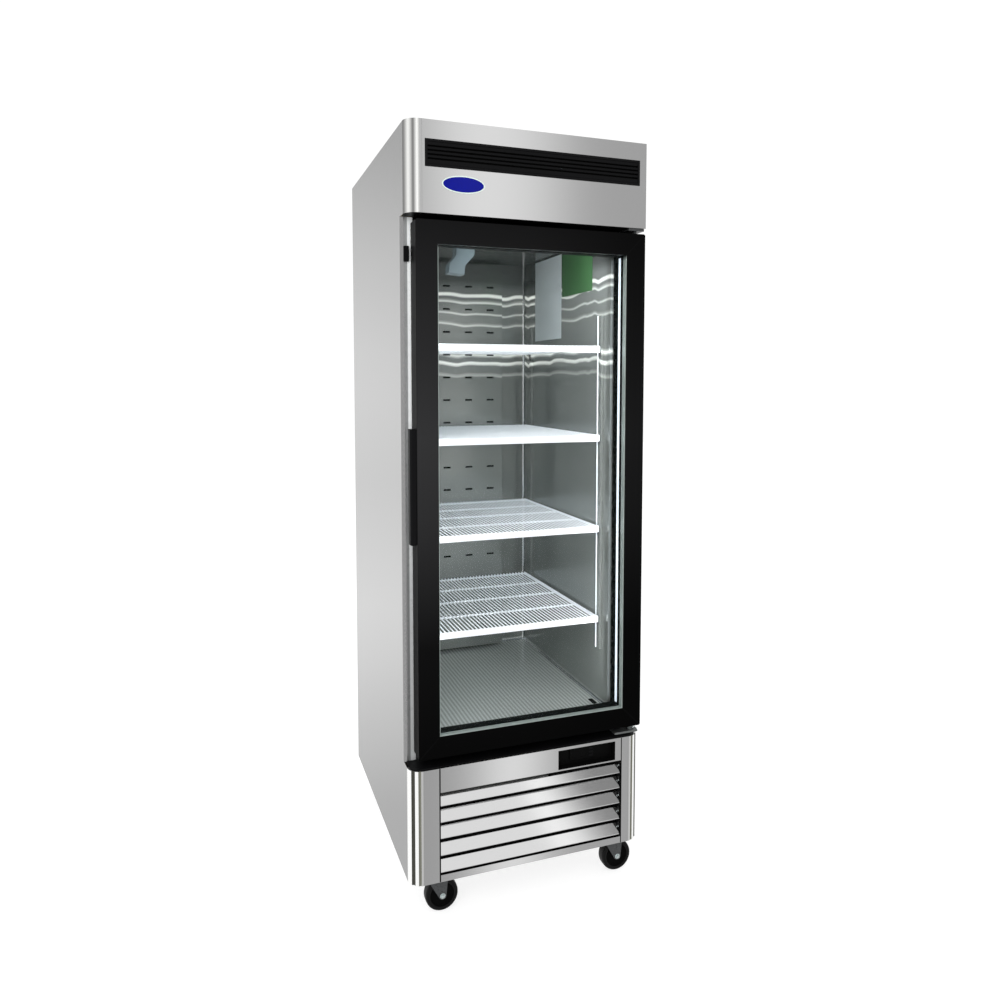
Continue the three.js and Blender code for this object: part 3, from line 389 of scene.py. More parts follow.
class Shape:
    """Closed solids gathered into one mesh, in millimetres."""

    def __init__(self):
        self.mesh = bmesh.new()

    def loft(self, rings, looped=False, finish=None, cap=0):
        """Skins matching rings of points. An open loft gets flat ends; finish(i) is side i's material."""
        rows = [[self.mesh.verts.new(point) for point in ring] for ring in rings]
        count = len(rows[0])
        following = rows[1:] + (rows[:1] if looped else [])
        for row, after in zip(rows, following):
            for i in range(count):
                j = (i + 1) % count
                face = self.mesh.faces.new((row[i], row[j], after[j], after[i]))
                if finish:
                    face.material_index = finish(i)
        if not looped:
            for row in (rows[0], rows[-1]):
                self.mesh.faces.new(row).material_index = cap
        return [vertex for row in rows for vertex in row]

    def prism(self, outline, axis, start, end, finish=None, cap=0):
        place = AXES[axis]
        self.loft([[place(u, v, w) for u, v in outline] for w in (start, end)], finish=finish, cap=cap)

    def block(self, x0, x1, y0, y1, z0, z1):
        self.prism(rectangle(x0, x1, y0, y1), "z", z0, z1)

    def rod(self, axis, u, v, radius, start, end, steps=20, chamfer=0.0):
        """A round bar along an axis, its ends chamfered."""
        place = AXES[axis]
        inward = math.copysign(chamfer, end - start)
        stations = [(start, radius), (end, radius)]
        if chamfer:
            stations = [(start, radius - chamfer), (start + inward, radius), (end - inward, radius),
                        (end, radius - chamfer)]
        self.loft([[place(a, b, w) for a, b in circle(u, v, r, steps)] for w, r in stations])

    def lathe(self, axis, centre, profile, steps=48, finish=None):
        """Turns a closed (radius, height) profile about an axis through centre."""
        place = AXES[axis]
        cu, cv, cw = {"x": (1, 2, 0), "y": (0, 2, 1), "z": (0, 1, 2)}[axis]
        rings = []
        for i in range(steps):
            angle = 2 * math.pi * i / steps
            rings.append([
                place(centre[cu] + r * math.cos(angle), centre[cv] + r * math.sin(angle), centre[cw] + h)
                for r, h in profile
            ])
        made = self.loft(rings, looped=True, finish=finish)
        bmesh.ops.remove_doubles(self.mesh, verts=made, dist=1e-4)

    def surround(self, section, x0, x1, z0, z1, sides="lbrt"):
        """Runs a (distance outwards, y) section round a rectangle, mitred at its corners."""
        corners = {"lb": (x0, z0, -1, -1), "rb": (x1, z0, 1, -1), "rt": (x1, z1, 1, 1), "lt": (x0, z1, -1, 1)}

        def ring(key):
            x, z, outward_x, outward_z = corners[key]
            return [(x + outward_x * t, y, z + outward_z * t) for t, y in section]

        if sides == "lbrt":
            self.loft([ring(key) for key in ("lb", "rb", "rt", "lt")], looped=True)
            return
        ends = {"l": ("lt", "lb"), "b": ("lb", "rb"), "r": ("rb", "rt"), "t": ("rt", "lt")}
        for side in sides:
            self.loft([ring(key) for key in ends[side]])

    def done(self, name, materials, body="root", bevel=0.0, segments=2, sharp=35):
        """Turns the shape into a piece that rides on a body."""
        bmesh.ops.recalc_face_normals(self.mesh, faces=self.mesh.faces[:])
        bmesh.ops.scale(self.mesh, vec=(MM, MM, MM), verts=self.mesh.verts[:])
        mesh = bpy.data.meshes.new(name)
        self.mesh.to_mesh(mesh)
        self.mesh.free()
        mesh.polygons.foreach_set("use_smooth", [True] * len(mesh.polygons))
        mesh.set_sharp_from_angle(angle=math.radians(sharp))
        for material in materials if isinstance(materials, (list, tuple)) else [materials]:
            mesh.materials.append(material)
        piece = bpy.data.objects.new(name, mesh)
        bpy.context.scene.collection.objects.link(piece)
        if bevel:
            soften(piece, bevel, segments)
        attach(piece, body)
        return piece


def soften(piece, width, segments=2):
    """Rounds a piece's sharp edges, width in millimetres."""
    made = piece.modifiers.new("soft_edges", "BEVEL")
    made.width = width * MM
    made.segments = segments
    made.limit_method = "ANGLE"
    made.angle_limit = math.radians(35)
    made.use_clamp_overlap = True
    made.harden_normals = True


def dress(names, material, bevel=0.0):
    """Gives kept CAD nodes their material, and softens their edges."""
    for name in names.split():
        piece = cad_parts[name]
        piece.data.materials.clear()
        piece.data.materials.append(material)
        if bevel:
            weld = piece.modifiers.new("weld", "WELD")
            weld.merge_threshold = 0.00001
            soften(piece, bevel)
            piece.modifiers["soft_edges"].harden_normals = False


def screw(shape, axis, u, v, start, outward, radius=3.4):
    """A pan-head screw on a face at start, standing out along an axis, with its cross recess."""
    height = radius * 0.62
    place = AXES[axis]
    rings = []
    for share, lift in ((1.0, 0.0), (1.0, 0.35), (0.88, 0.72), (0.6, 0.95), (0.3, 1.0)):
        rings.append([place(a, b, start + outward * height * lift)
                      for a, b in circle(u, v, radius * share, 16)])
    shape.loft(rings)
    arm, depth = radius * 0.5, start + outward * (height + 0.05)
    for half_u, half_v in ((arm, radius * 0.12), (radius * 0.12, arm)):
        shape.prism(rectangle(u - half_u, u + half_u, v - half_v, v + half_v), axis,
                    start + outward * height * 0.5, depth, finish=lambda i: 1)


# ---------------------------------------------------------------- cabinet outside

side = Extent("side_panel_left")
header = Extent("header_panel")
post = Extent("corner_post_left")
trim = Extent("header_corner_trim")
right_post = Extent("corner_post_right")
SHEET = 1.2
FACE = post.y0
HALF_WIDTH = 343
CORNER_RADIUS = 36
CORNER_WALL = 5

dress("side_panel_left side_panel_right", steel_side, 0.4)
dress("back_panel top_panel", steel_side, 0.4)
dress("header_panel control_strip base_tray", steel_front, 0.35)
dress("face_frame", edge_steel_painted_shade)
dress("insulation_foam", foam)
dress("rear_cover condenser_coil fan_shroud condenser_fan electrical_box", galvanised)
dress("evaporator_coil", galvanised)
dress("compressor", cast_black)
dress("drain_pan evaporator_fan", black_plastic)
dress("controller_box", deep_black)
dress("thermostat", deep_black, 0.3)
dress("thermostat_button_1 thermostat_button_2 thermostat_button_3", black_plastic, 0.3)
dress("sill_deck", satin_black, 0.6)
dress("door_switch", black_plastic, 1.2)
dress("top_hinge_bracket", zinc, 0.4)
dress("bottom_hinge_bracket", grey_zinc, 0.5)
dress("caster_rail_front caster_rail_rear", zinc, 0.6)

POST_FLUTES = ((9, 21, 2.0), (36, 54, 3.0))
HEADER_FLUTES = ((16, 36, 0.6),)


def flute_depth(angle, flutes):
    """Depth of a corner's grooves at an angle in degrees from the front."""
    for start, end, depth in flutes:
        if start < angle < end:
            return depth * math.sin(math.pi * (angle - start) / (end - start)) ** 0.7
    return 0.0


def fluted_corner(name, extent, hand, inner, capped=False):
    """A rounded corner with two grooves and a flat strip beside it; hand is -1 for the left corner.

    The capped one closes the header above the door, and has one shallow groove.
    """
    centre_x = hand * HALF_WIDTH - hand * CORNER_RADIUS
    centre_y = FACE + CORNER_RADIUS

    def at(radius, degrees):
        angle = math.radians(degrees)
        return centre_x + hand * radius * math.sin(angle), centre_y - radius * math.cos(angle)

    steps = 180
    outline = [(inner, FACE)]
    bands = []
    for i in range(steps + 1):
        degrees = 90 * i / steps
        depth = flute_depth(degrees, HEADER_FLUTES if capped else POST_FLUTES)
        outline.append(at(CORNER_RADIUS - depth, degrees))
        # Groove faces take the painted olive reflection (first groove) or the painted shade (second groove);
        # the capped corner takes the trim painted with bands.
        band = 4 if capped else 1
        if depth > 0.45 and not capped:
            band = 2 if degrees < 25 else 3
        bands.append(band)
    outline += [at(CORNER_RADIUS - CORNER_WALL, 90 - 5 * i) for i in range(19)]
    outline.append((inner, FACE + CORNER_WALL))

    def finish(i):
        return 0 if i == 0 or i > steps else bands[i - 1]

    shape = Shape()
    shape.prism(outline, "z", extent.z0, extent.z1, finish, cap=5 if capped else 0)
    if capped:
        reach = Extent("face_frame").y0 - 0.5
        wedge = [(centre_x + hand * (CORNER_RADIUS - CORNER_WALL + 1), reach), (centre_x - hand * 6, reach),
                 (centre_x - hand * 6, FACE + CORNER_WALL - 1)]
        wedge += [at(CORNER_RADIUS - CORNER_WALL + 1, 7.5 * i) for i in range(13)]
        for z0 in (extent.z0 + 0.02, extent.z1 - SHEET):
            shape.prism(wedge, "z", z0, z0 + SHEET - 0.02, finish=lambda i: 5, cap=5)
    finishes = [steel_front, steel_trim, groove_painted_reflection, groove_painted_shade, header_trim_painted_light, satin_black]
    return shape.done(name, finishes, sharp=50)


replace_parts(fluted_corner("fluted_header_corner", trim, -1, trim.x1, capped=True), "header_corner_trim")
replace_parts(fluted_corner("fluted_post_left", post, -1, post.x1), "corner_post_left")
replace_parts(fluted_corner("fluted_post_right", right_post, 1, right_post.x0), "corner_post_right")


def vent_grille():
    """The plastic grille of the header: bezel, four slots and a broad lower band."""
    grille = Extent("vent_grille")
    slots = [2013.3, 2023.7, 2034.1, 2044.5]
    half_slot = 2.1
    rim = 6.5
    shape = Shape()
    section = [(0, FACE - 0.3), (0, grille.y0 + 0.4), (-0.6, grille.y0), (-rim, grille.y0),
               (-rim, FACE + 7), (-rim + 1.2, FACE + 7), (-rim + 1.2, FACE - 0.3)]
    shape.surround(section, grille.x0, grille.x1, grille.z0, grille.z1)
    bottoms = [grille.z0 + rim] + [z + half_slot for z in slots]
    tops = [z - half_slot for z in slots] + [grille.z1 - rim]
    for bottom, top in zip(bottoms, tops):
        front = grille.y0 + 0.9
        bar = [(front + 0.8, bottom), (front, bottom + 0.8), (front, top - 0.8), (front + 0.8, top),
               (FACE + 7, top + 1.0), (FACE + 7, bottom + 1.0)]
        shape.prism(bar, "x", grille.x0 + rim - 0.5, grille.x1 - rim + 0.5)
    piece = shape.done("header_vent", black_plastic)
    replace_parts(piece, "vent_grille")
    shape = Shape()
    shape.prism(rounded(grille.x0 + 7, grille.x1 - 7, grille.z0 + 7, grille.z1 - 7, 2), "y", FACE + 7.6,
                FACE + 8.6)
    shape.done("header_vent_screen", deep_black)


vent_grille()


def badge():
    """A blank domed oval plate with a pale rim."""
    plate = Extent("badge")
    cx, cz = (plate.x0 + plate.x1) / 2, (plate.z0 + plate.z1) / 2
    half_x, half_z = (plate.x1 - plate.x0) / 2, (plate.z1 - plate.z0) / 2

    def oval(inset, y):
        return [(cx + (half_x - inset) * math.cos(a), y, cz + (half_z - inset) * math.sin(a))
                for a in (2 * math.pi * i / 72 for i in range(72))]

    shape = Shape()
    shape.loft([oval(0.2, plate.y1), oval(0, plate.y1 - 0.4), oval(0.5, plate.y0 + 0.15),
                oval(2.6, plate.y0 + 0.1), oval(3.2, plate.y0 + 0.5)])
    rim = shape.done("badge_rim", badge_rim)
    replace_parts(rim, "badge")
    shape = Shape()
    dome = [oval(3.0, plate.y0 + 0.9), oval(3.3, plate.y0 + 0.35)]
    for inset, lift in ((5, 0.15), (8, -0.1), (13, -0.28), (18, -0.36), (22, -0.4)):
        dome.append(oval(inset, plate.y0 + lift))
    shape.loft(dome)
    shape.done("badge_dome", badge_blue, sharp=60)


badge()


def seal_and_highlight_strips():
    """The black seal between header and door, partly a dark sheet for shade, and the pale painted highlight
    strips on the cabinet's face beside the door.
    """
    face = Extent("face_frame")
    header_bottom, door_top = header.z0, Extent("door_frame").z1
    # A black sheet under the header and over the face frame down past the door's top: partly a real seal,
    # partly a dark sheet standing for the shade in the gap.
    shape = Shape()
    shape.block(-300, 290, FACE + 2.5, face.y0 - 0.9, header_bottom - 1.1, header_bottom - 0.2)
    shape.block(-309, 339, face.y0 - 0.8, face.y0 - 0.1, door_top - 9, header_bottom - 0.2)
    shape.done("header_seal_and_painted_shade", deep_black, bevel=0.15)
    # Painted highlight: pale, faintly glowing strips on the cabinet's face beside the door.
    shape = Shape()
    for x0, x1, top in ((-332.5, -312, header_bottom - 1.5), (312, 332.5, door_top - 10)):
        shape.prism(rounded(x0, x1, face.z0 + 4.7, top, 2), "y", face.y0 - 0.6, face.y0 - 0.1)
    shape.done("face_painted_highlight_strips", pale_painted_light_strip, bevel=0.15)


seal_and_highlight_strips()


# ---------------------------------------------------------------- lower front

LOUVRES = Extent("louvre_grille")
BLADES = ((317, 34, 28), (272, 25, 21), (227, 25, 21), (180, 25, 21), (133, 25, 21))


def between(start, end, share):
    return tuple(a + (b - a) * share for a, b in zip(start, end))


def louvres():
    """Sloping blades with rolled lips, between two dark uprights; BLADES is (bottom, rise, lean)."""
    front = FACE + 0.6
    left, right = LOUVRES.x0 + 1.5, LOUVRES.x1 - 5
    shape = Shape()
    lower, upper = 1.3, 0.9
    for z, rise, lean in BLADES:
        base = (front + lower, z + lower)
        top = (front + lean, z + rise)
        tilt = math.degrees(math.atan2(top[1] - base[1], top[0] - base[0]))
        low_lip = arc(*base, lower, tilt + 90, tilt + 270, 10)
        top_lip = arc(*top, upper, tilt - 90, tilt + 90, 8)
        outline = low_lip + [between(low_lip[-1], top_lip[0], share) for share in (0.02, 0.98)]
        outline += top_lip + [between(top_lip[-1], low_lip[0], share) for share in (0.02, 0.98)]
        shape.prism(outline, "x", left, right)
        shape.block(left + 1, right - 1, front + 2, front + 14, z + 0.3, z + 1.5)
    blades = shape.done("louvre_blades", blade_steel, sharp=40)
    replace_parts(blades, "louvre_grille")
    shape = Shape()
    for x in (LOUVRES.x0, LOUVRES.x1 - 3):
        shape.block(x, x + 3, front + 5, front + 30, LOUVRES.z0, LOUVRES.z1)
    shape.done("louvre_uprights", satin_black, bevel=0.4)
    shape = Shape()
    for z, rise, lean in BLADES:
        for x, outward in ((LOUVRES.x0 + 3, 1), (LOUVRES.x1 - 3, -1)):
            screw(shape, "x", front + 9.5, z + 20, x, outward, 2.6)
    shape.done("louvre_screws", [bright_zinc, deep_black])
    # Painted light: a pale, faintly glowing card hidden behind the control strip, there to be reflected in
    # the top blade.
    shape = Shape()
    shape.block(LOUVRES.x0 + 6, Extent("controller_box").x0 - 12, FACE + SHEET + 0.4, FACE + SHEET + 1.4,
                LOUVRES.z1 + 3, LOUVRES.z1 + 60)
    shape.done("control_strip_hidden_light_card", pale_painted_light_strip, bevel=0.2)
    shape = Shape()
    shape.block(LOUVRES.x0 + 3.2, LOUVRES.x1 - 3.2, front + 31, front + 33, LOUVRES.z0, LOUVRES.z1)
    shape.done("air_filter", deep_black, bevel=0.3)
    shape = Shape()
    strip = Extent("control_strip")
    shape.block(post.x1 - 0.4, strip.x0 + 2.4, FACE - 0.12, FACE + 0.4, post.z0 + 1, post.z1 - 1)
    shape.block(strip.x1 - 1.6, right_post.x0 + 0.4, FACE - 0.12, FACE + 0.4, post.z0 + 1, post.z1 - 1)
    shape.done("post_seals", deep_black)


louvres()


# ---------------------------------------------------------------- door

door = Extent("door_frame")
SIGHT = {"x0": -261, "x1": 283, "z0": 510, "z1": 1801}
dress("door_frame", door_black_painted_light, 1.0)
dress("outer_glass inner_glass", glass)
dress("glass_spacer", spacer_silver)


def mitre_seams():
    """The fine joint lines where the door's four bars meet."""
    shape = Shape()
    corners = [
        ((door.x0 + 3, door.z0 + 3), (SIGHT["x0"], SIGHT["z0"])),
        ((door.x1 - 3, door.z0 + 3), (SIGHT["x1"], SIGHT["z0"])),
        ((door.x1 - 3, door.z1 - 3), (SIGHT["x1"], SIGHT["z1"])),
        ((door.x0 + 3, door.z1 - 3), (SIGHT["x0"], SIGHT["z1"])),
    ]
    for outer, inner in corners:
        start, end = Vector(outer), Vector(inner)
        along = (end - start).normalized()
        across = Vector((-along.y, along.x)) * 0.35
        start, end = start + along * 1.5, end - along * 1.5
        outline = [start - across, end - across, end + across, start + across]
        shape.prism([tuple(p) for p in outline], "y", door.y0 - 0.06, door.y0 + 1)
    shape.done("door_mitre_seams", black_plastic, "door")


mitre_seams()


def glazing():
    """The thin bright bead round the glass and the lit strips on the door's inner jambs."""
    shape = Shape()
    section = [(-1.7, door.y0 + 3.0), (-1.7, door.y0 + 1.2), (-1.1, door.y0 + 0.5), (-0.05, door.y0 + 0.5),
               (-0.05, door.y0 + 3.0)]
    shape.surround(section, SIGHT["x0"], SIGHT["x1"], SIGHT["z0"], SIGHT["z1"], "lbr")
    shape.done("glazing_bead", spacer_silver, "door")
    shape = Shape()
    front, back = -366, -354
    for x, outward in ((SIGHT["x0"] + 0.1, 1), (SIGHT["x1"] - 0.1, -1)):
        shape.prism([(x, front), (x, back), (x + outward * 0.8, back - 0.8),
                     (x + outward * 1.2, (front + back) / 2), (x + outward * 0.8, front + 0.8)], "z",
                    SIGHT["z0"] + 4, SIGHT["z1"] - 4)
    shape.done("jamb_light_strips", led_light, "door")


glazing()


def gasket():
    """The magnetic gasket, with a bellows fold along its sides."""
    seal = Extent("door_gasket")
    front, back = seal.y0, seal.y1
    width = 14
    section = [(0, front), (-width, front), (-width, front + 2), (-width + 1.6, front + 3.3),
               (-width, front + 4.6), (-width, back - 1.6), (-width + 2, back), (-2, back), (0, back - 1.6),
               (0, front + 4.6), (-1.6, front + 3.3), (0, front + 2)]
    shape = Shape()
    shape.surround(section, seal.x0, seal.x1, seal.z0, seal.z1)
    piece = shape.done("door_seal", rubber, "door")
    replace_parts(piece, "door_gasket")


gasket()


def handle():
    """The pull on the door's edge: a hooked bar with rounded, capped ends."""
    pull = Extent("door_handle")
    left, front, back = pull.x0, pull.y0, pull.y1
    root = pull.x1
    outline = [(root, back), (root - 2.7, back), (root - 2.7, front + 7), (root - 3.7, front + 6),
               (left + 4.5, front + 6), (left + 3.5, front + 7), (left + 3.5, front + 22),
               (left + 2.8, front + 23), (left + 0.7, front + 23), (left, front + 22)]
    outline += arc(left + 6, front + 6, 6, 180, 270, 10)
    outline += [(root, front)]
    shape = Shape()
    shape.prism(outline, "z", pull.z0 + 2, pull.z1 - 2)
    for z0, z1 in ((pull.z0, pull.z0 + 4), (pull.z1 - 4, pull.z1)):
        cap = [(root - 0.4, front + 23), (left + 0.6, front + 23)]
        cap += arc(left + 6.3, front + 6.3, 5.7, 180, 270, 8)
        cap += [(root - 0.4, front + 0.6)]
        shape.prism(cap, "z", z0, z1)
    piece = shape.done("door_pull", frame_black, "door", bevel=0.8)
    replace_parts(piece, "door_handle")


handle()


HINGE_PIN = (322, -373)


def hinge_screws():
    """Screws through the bottom hinge's plate."""
    plate = Extent("bottom_hinge_bracket")
    shape = Shape()
    for x in (plate.x0 + 10, plate.x0 + 34):
        screw(shape, "z", x, plate.y0 + 40, plate.z0 + 11.5, 1, 4)
    shape.done("hinge_screws", [bright_zinc, deep_black])
    shape = Shape()
    shape.lathe("z", (*HINGE_PIN, plate.z0 + 12.6), [(10.1, 0), (13, 0), (13, 1.6), (11.5, 3), (10.1, 3)])
    shape.prism(rounded(plate.x1 - 0.2, plate.x1 + 3, plate.y0 + 8, plate.y0 + 40, 1), "z", plate.z0 + 5.5,
                plate.z0 + 12.4)
    shape.done("hinge_collar", bright_zinc, bevel=0.3)


hinge_screws()


# ---------------------------------------------------------------- compartment

cavity = Extent("liner")
dress("liner", liner_steel_painted_light)
dress("duct_panel", liner_steel_painted_light, 0.8)
dress("pilaster_front_left pilaster_front_right pilaster_rear_left pilaster_rear_right", liner_steel_painted_light)
dress("lamp_cover", lamp_plastic, 1.5)


PILASTER_YS = (-287, 257)
PILASTER_FACE = 259.4
WALL_CARDS = (("wall_card_pale", card_pale, "shelf_white", (6, 228, 1590, 1862)),
              ("wall_card_green", card_green, "black_plastic", (-218, 0, 1722, 1858)))


def shelf(index):
    """A white wire shelf: wires front to back on cross rods, behind a solid front strip."""
    plate = Extent(f"shelf_{index}")
    top, half, front, back = plate.z1, plate.x1, plate.y0, plate.y1
    wire, count = 1.9, 44
    shape = Shape()
    spacing = (2 * half - 10) / (count - 1)
    for i in range(count):
        x = -half + 5 + spacing * i
        shape.rod("y", x, top - wire, wire, front + 1.5, back - 1, 8)
    for y in (front + 3.2, -150, 0, 140, back - 4):
        shape.rod("x", y, top - 2 * wire - 2.4, 2.8, -half + 1, half - 1, 10, 1)
    for x in (-half + 3, half - 3):
        shape.rod("y", x, top - 2 * wire - 2.4, 2.9, front + 1.5, back - 1.2, 10, 1)
    strip = rounded(front, front + 2.6, top - 19.5, top - 0.6, 1.2, 4)
    shape.prism(strip, "x", -half + 0.5, half - 0.5)
    piece = shape.done(f"wire_shelf_{index}", white_coat_painted_glow)
    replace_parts(piece, f"shelf_{index}")
    clips = Shape()
    for hand in (-1, 1):
        for y in PILASTER_YS:
            inner, outer = hand * (half - 1), hand * PILASTER_FACE
            hook = [(outer, top - 32), (outer, top - 9), (inner, top - 9.4), (inner, top - 11.6),
                    (outer - hand * 2, top - 12.4), (outer - hand * 2, top - 31)]
            clips.prism(hook, "y", y - 6, y + 6)
    clips.done(f"shelf_clips_{index}", zinc, bevel=0.4)


for shelf_index in (1, 2, 3, 4):
    shelf(shelf_index)


def compartment_details():
    """Corner coves, a dark board standing for the shade inside the duct, the wall cards and the drain."""
    half, back = cavity.x1 - SHEET, cavity.y1 - SHEET
    floor, ceiling = cavity.z0 + SHEET, cavity.z1 - SHEET
    cove = 7
    coves = Shape()
    for hand in (-1, 1):
        corner = arc(hand * (half - cove), back - cove, cove, 90 - hand * 90, 90, 8)
        coves.prism(corner + [(hand * half, back)], "z", floor, ceiling)
        lower = arc(hand * (half - cove), floor + cove, cove, -90, -90 + hand * 90, 8)
        coves.prism(lower + [(hand * half, floor)], "y", -330, back)
    coves.prism(arc(back - cove, floor + cove, cove, -90, 0, 8) + [(back, floor)], "x", -half, half)
    coves.done("liner_coves", bright_steel, sharp=50)
    folds = Shape()
    for hand in (-1, 1):
        folds.prism(rectangle(hand * 259.2, hand * 261.5, -274.5, -270.5), "z", 652, 1641)
    folds.done("pilaster_folds", white_coat_painted_glow, bevel=0.3)
    duct = Extent("duct_panel")
    # Painted shade: a dark board put inside the duct where there is only shade.
    shade_board = Shape()
    shade_board.block(duct.x0 + 4, duct.x1 - 4, duct.y0 + 1.5, duct.y0 + 2.5, duct.z0 + 4, duct.z1 - 4)
    shade_board.done("duct_shade_board", deep_black, bevel=0.2)
    wall = half - 0.1
    for name, material, slot, limits in WALL_CARDS:
        card = Shape()
        card.prism(rounded(*limits, 3), "x", wall - 0.5, wall)
        card.done(name, material, bevel=0.1)
    drain = Shape()
    drain.prism(rounded(half - 28, half - 14, -300, -262, 5), "z", floor + 0.1, floor + 1.2)
    drain.done("floor_drain", deep_black, bevel=0.2)


compartment_details()


def breaker_strip():
    """The plastic strip that joins the liner's mouth to the cabinet's face."""
    mouth = {"x0": -268, "x1": 268, "z0": 489, "z1": 1833}
    face = Extent("face_frame")
    section = [(-0.6, face.y0 - 0.25), (9, face.y0 - 0.25), (9, face.y0 - 0.02), (-0.05, face.y0 - 0.02),
               (-0.05, face.y0 + 14), (-0.6, face.y0 + 14)]
    shape = Shape()
    shape.surround(section, **mouth)
    shape.done("breaker_strip", liner_steel_painted_light)


breaker_strip()


# ---------------------------------------------------------------- casters

WHEEL_RADIUS = 46
WHEEL_HALF = 16
TRAIL = 22
CROWN_TOP = 99.5
CASTER_X = 268
CASTER_Y = 345


def caster(end, hand, x, y):
    """A swivel fork with tapered legs and a black wheel, trailing towards +X."""
    fork_name, wheel_name = f"caster_fork_{end}_{hand}", f"caster_wheel_{end}_{hand}"
    leg_inner, leg_outer = WHEEL_HALF + 1.5, WHEEL_HALF + 4.5
    leg_top = CROWN_TOP - 2
    shape = Shape()
    crown = [(0, CROWN_TOP - 4), (25, CROWN_TOP - 4), (26, CROWN_TOP - 3), (26, CROWN_TOP - 1.2),
             (24.5, CROWN_TOP), (6.4, CROWN_TOP), (6.4, CROWN_TOP + 9.3), (5.6, CROWN_TOP + 9.5),
             (0, CROWN_TOP + 9.5)]
    shape.lathe("z", (x, y, 0), crown)
    plate = rounded(x - 20, x + TRAIL + 16, y - leg_outer, y + leg_outer, 3)
    shape.prism(plate, "z", CROWN_TOP - 3.9, leg_top)
    outline = [(x - 20, leg_top)]
    outline += arc(x + TRAIL, WHEEL_RADIUS, 10.5, 208, 360, 20)
    outline += [(x + TRAIL + 16, leg_top)]
    for y0 in (y - leg_outer, y + leg_inner):
        shape.prism(outline, "y", y0, y0 + leg_outer - leg_inner)
    fork = shape.done(f"caster_yoke_{end}_{hand}", zinc, fork_name, bevel=0.9, segments=3)
    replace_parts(fork, fork_name)
    axle = Shape()
    axle.rod("y", x + TRAIL, WHEEL_RADIUS, 5, y - leg_inner, y + leg_inner, 24)
    for side_y, outward in ((y - leg_outer, -1), (y + leg_outer, 1)):
        axle.rod("y", x + TRAIL, WHEEL_RADIUS, 7.6, side_y, side_y + outward * 1.2, 28, 0.3)
        hexagon = arc(x + TRAIL, WHEEL_RADIUS, 5.8, 15, 375, 6)[:-1]
        axle.prism(hexagon, "y", side_y + outward * 1.2, side_y + outward * 4.4)
        axle.rod("y", x + TRAIL, WHEEL_RADIUS, 3.0, side_y + outward * 4.4, side_y + outward * 5.6, 16, 0.5)
    axle.done(f"caster_axle_{end}_{hand}", bright_zinc, fork_name, bevel=0.35)
    wheel = Shape()
    half = WHEEL_HALF
    profile = [(5.4, -half), (12, -half), (13.5, -half + 1), (14.5, -half + 4.5), (17, -half + 5.4),
               (30, -half + 5.4), (32.5, -half + 4.6), (34, -half + 1.2), (35.5, -half + 0.2),
               (41, -half + 0.3), (43.4, -half + 1.4), (45, -half + 3.4), (45.8, -half + 6),
               (WHEEL_RADIUS, -half + 9)]
    sides = len(profile)
    profile += [(r, -h) for r, h in reversed(profile)]
    wheel.lathe("y", (x + TRAIL, y, WHEEL_RADIUS), profile, 72,
                finish=lambda i: 0 if 7 <= i < 2 * sides - 8 else 1)
    piece = wheel.done(f"caster_tyre_{end}_{hand}", [tyre, hub_black], wheel_name, sharp=50)
    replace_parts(piece, wheel_name)


for caster_end, caster_y in (("front", -CASTER_Y), ("rear", CASTER_Y)):
    for caster_hand, caster_x in (("left", -CASTER_X), ("right", CASTER_X)):
        caster(caster_end, caster_hand, caster_x, caster_y)


# ---------------------------------------------------------------- rear and top

GLAND = (285, 0, 206)


def rear_fixings():
    """Screws along the rear cover and back panel, and the rubber sleeve of the mains gland."""
    back = Extent("back_panel")
    cover = Extent("rear_cover")
    shape = Shape()
    for x in (-320, -110, 110, 320):
        for z, y in ((cover.z1 - 10, cover.y1), (cover.z0 + 12, cover.y1), (back.z1 - 14, back.y1),
                     (back.z0 + 14, back.y1)):
            screw(shape, "y", x, z, y, 1)
    for z in (800, 1180, 1560):
        for x in (-330, 330):
            screw(shape, "y", x, z, back.y1, 1)
    shape.done("rear_screws", [bright_zinc, deep_black])
    shape = Shape()
    shape.lathe("y", GLAND, [(6.5, 398), (12, 398), (12, 403), (10.5, 404.5), (8, 406), (6.5, 406)])
    shape.done("mains_gland_sleeve", rubber)


rear_fixings()


# ---------------------------------------------------------------- studio

def degrees_ramp(tree, azimuth, stops):
    """Brightness by azimuth in degrees, as half the wanted value so that it stays below 1."""
    placed = [((angle + 180) / 360, (value / 2,) * 3) for angle, value in stops]
    return ramp(tree, azimuth, placed)


FRONT_MIDDLE = [(-180, 0.9), (-150, 1.1), (-60, 1.1), (-12, 1.1), (-4, 1.05), (4, 0.8), (12.5, 0.6),
                (14.7, 0.77), (15.7, 0.92), (17.1, 1.09), (18.6, 1.15), (20, 1.12), (21.4, 1.05),
                (22.9, 0.94), (24.3, 0.77), (25.7, 0.61), (27.2, 0.55), (40, 0.55), (62, 1.1),
                (84, 1.1), (96, 0.9), (112, 1.0), (126, 0.85), (138, 0.62), (150, 0.8), (180, 0.9)]
FRONT_LOW = [(-180, 0.8), (-150, 1.1), (-60, 1.1), (-25, 1.05), (-5, 0.6), (13, 0.5), (16, 0.52),
             (17.5, 0.66), (18.6, 0.84), (20, 1.13), (21.4, 1.19), (22.9, 0.9), (23.8, 0.7), (26, 0.55),
             (36, 0.52), (62, 1.1), (84, 1.1), (96, 0.85), (150, 0.9), (180, 0.8)]
FRONT_HIGH = [(-180, 0.9), (-60, 1.0), (0, 0.9), (14, 1.1), (28.4, 1.12), (29.2, 1.5), (30.6, 1.5),
              (31.3, 1.0), (33.6, 0.36), (42, 0.33), (60, 0.8), (96, 0.9), (180, 0.9)]
BEHIND = [(-40, 0.5), (-28.6, 0.54), (-26.3, 0.62), (-22.5, 0.74), (-19.4, 0.85), (-15.9, 0.92),
          (-12.5, 0.87), (-7.4, 0.80), (-1, 0.85), (2, 0.83), (8.6, 0.70), (13, 0.58), (16.4, 0.49),
          (30, 0.5)]


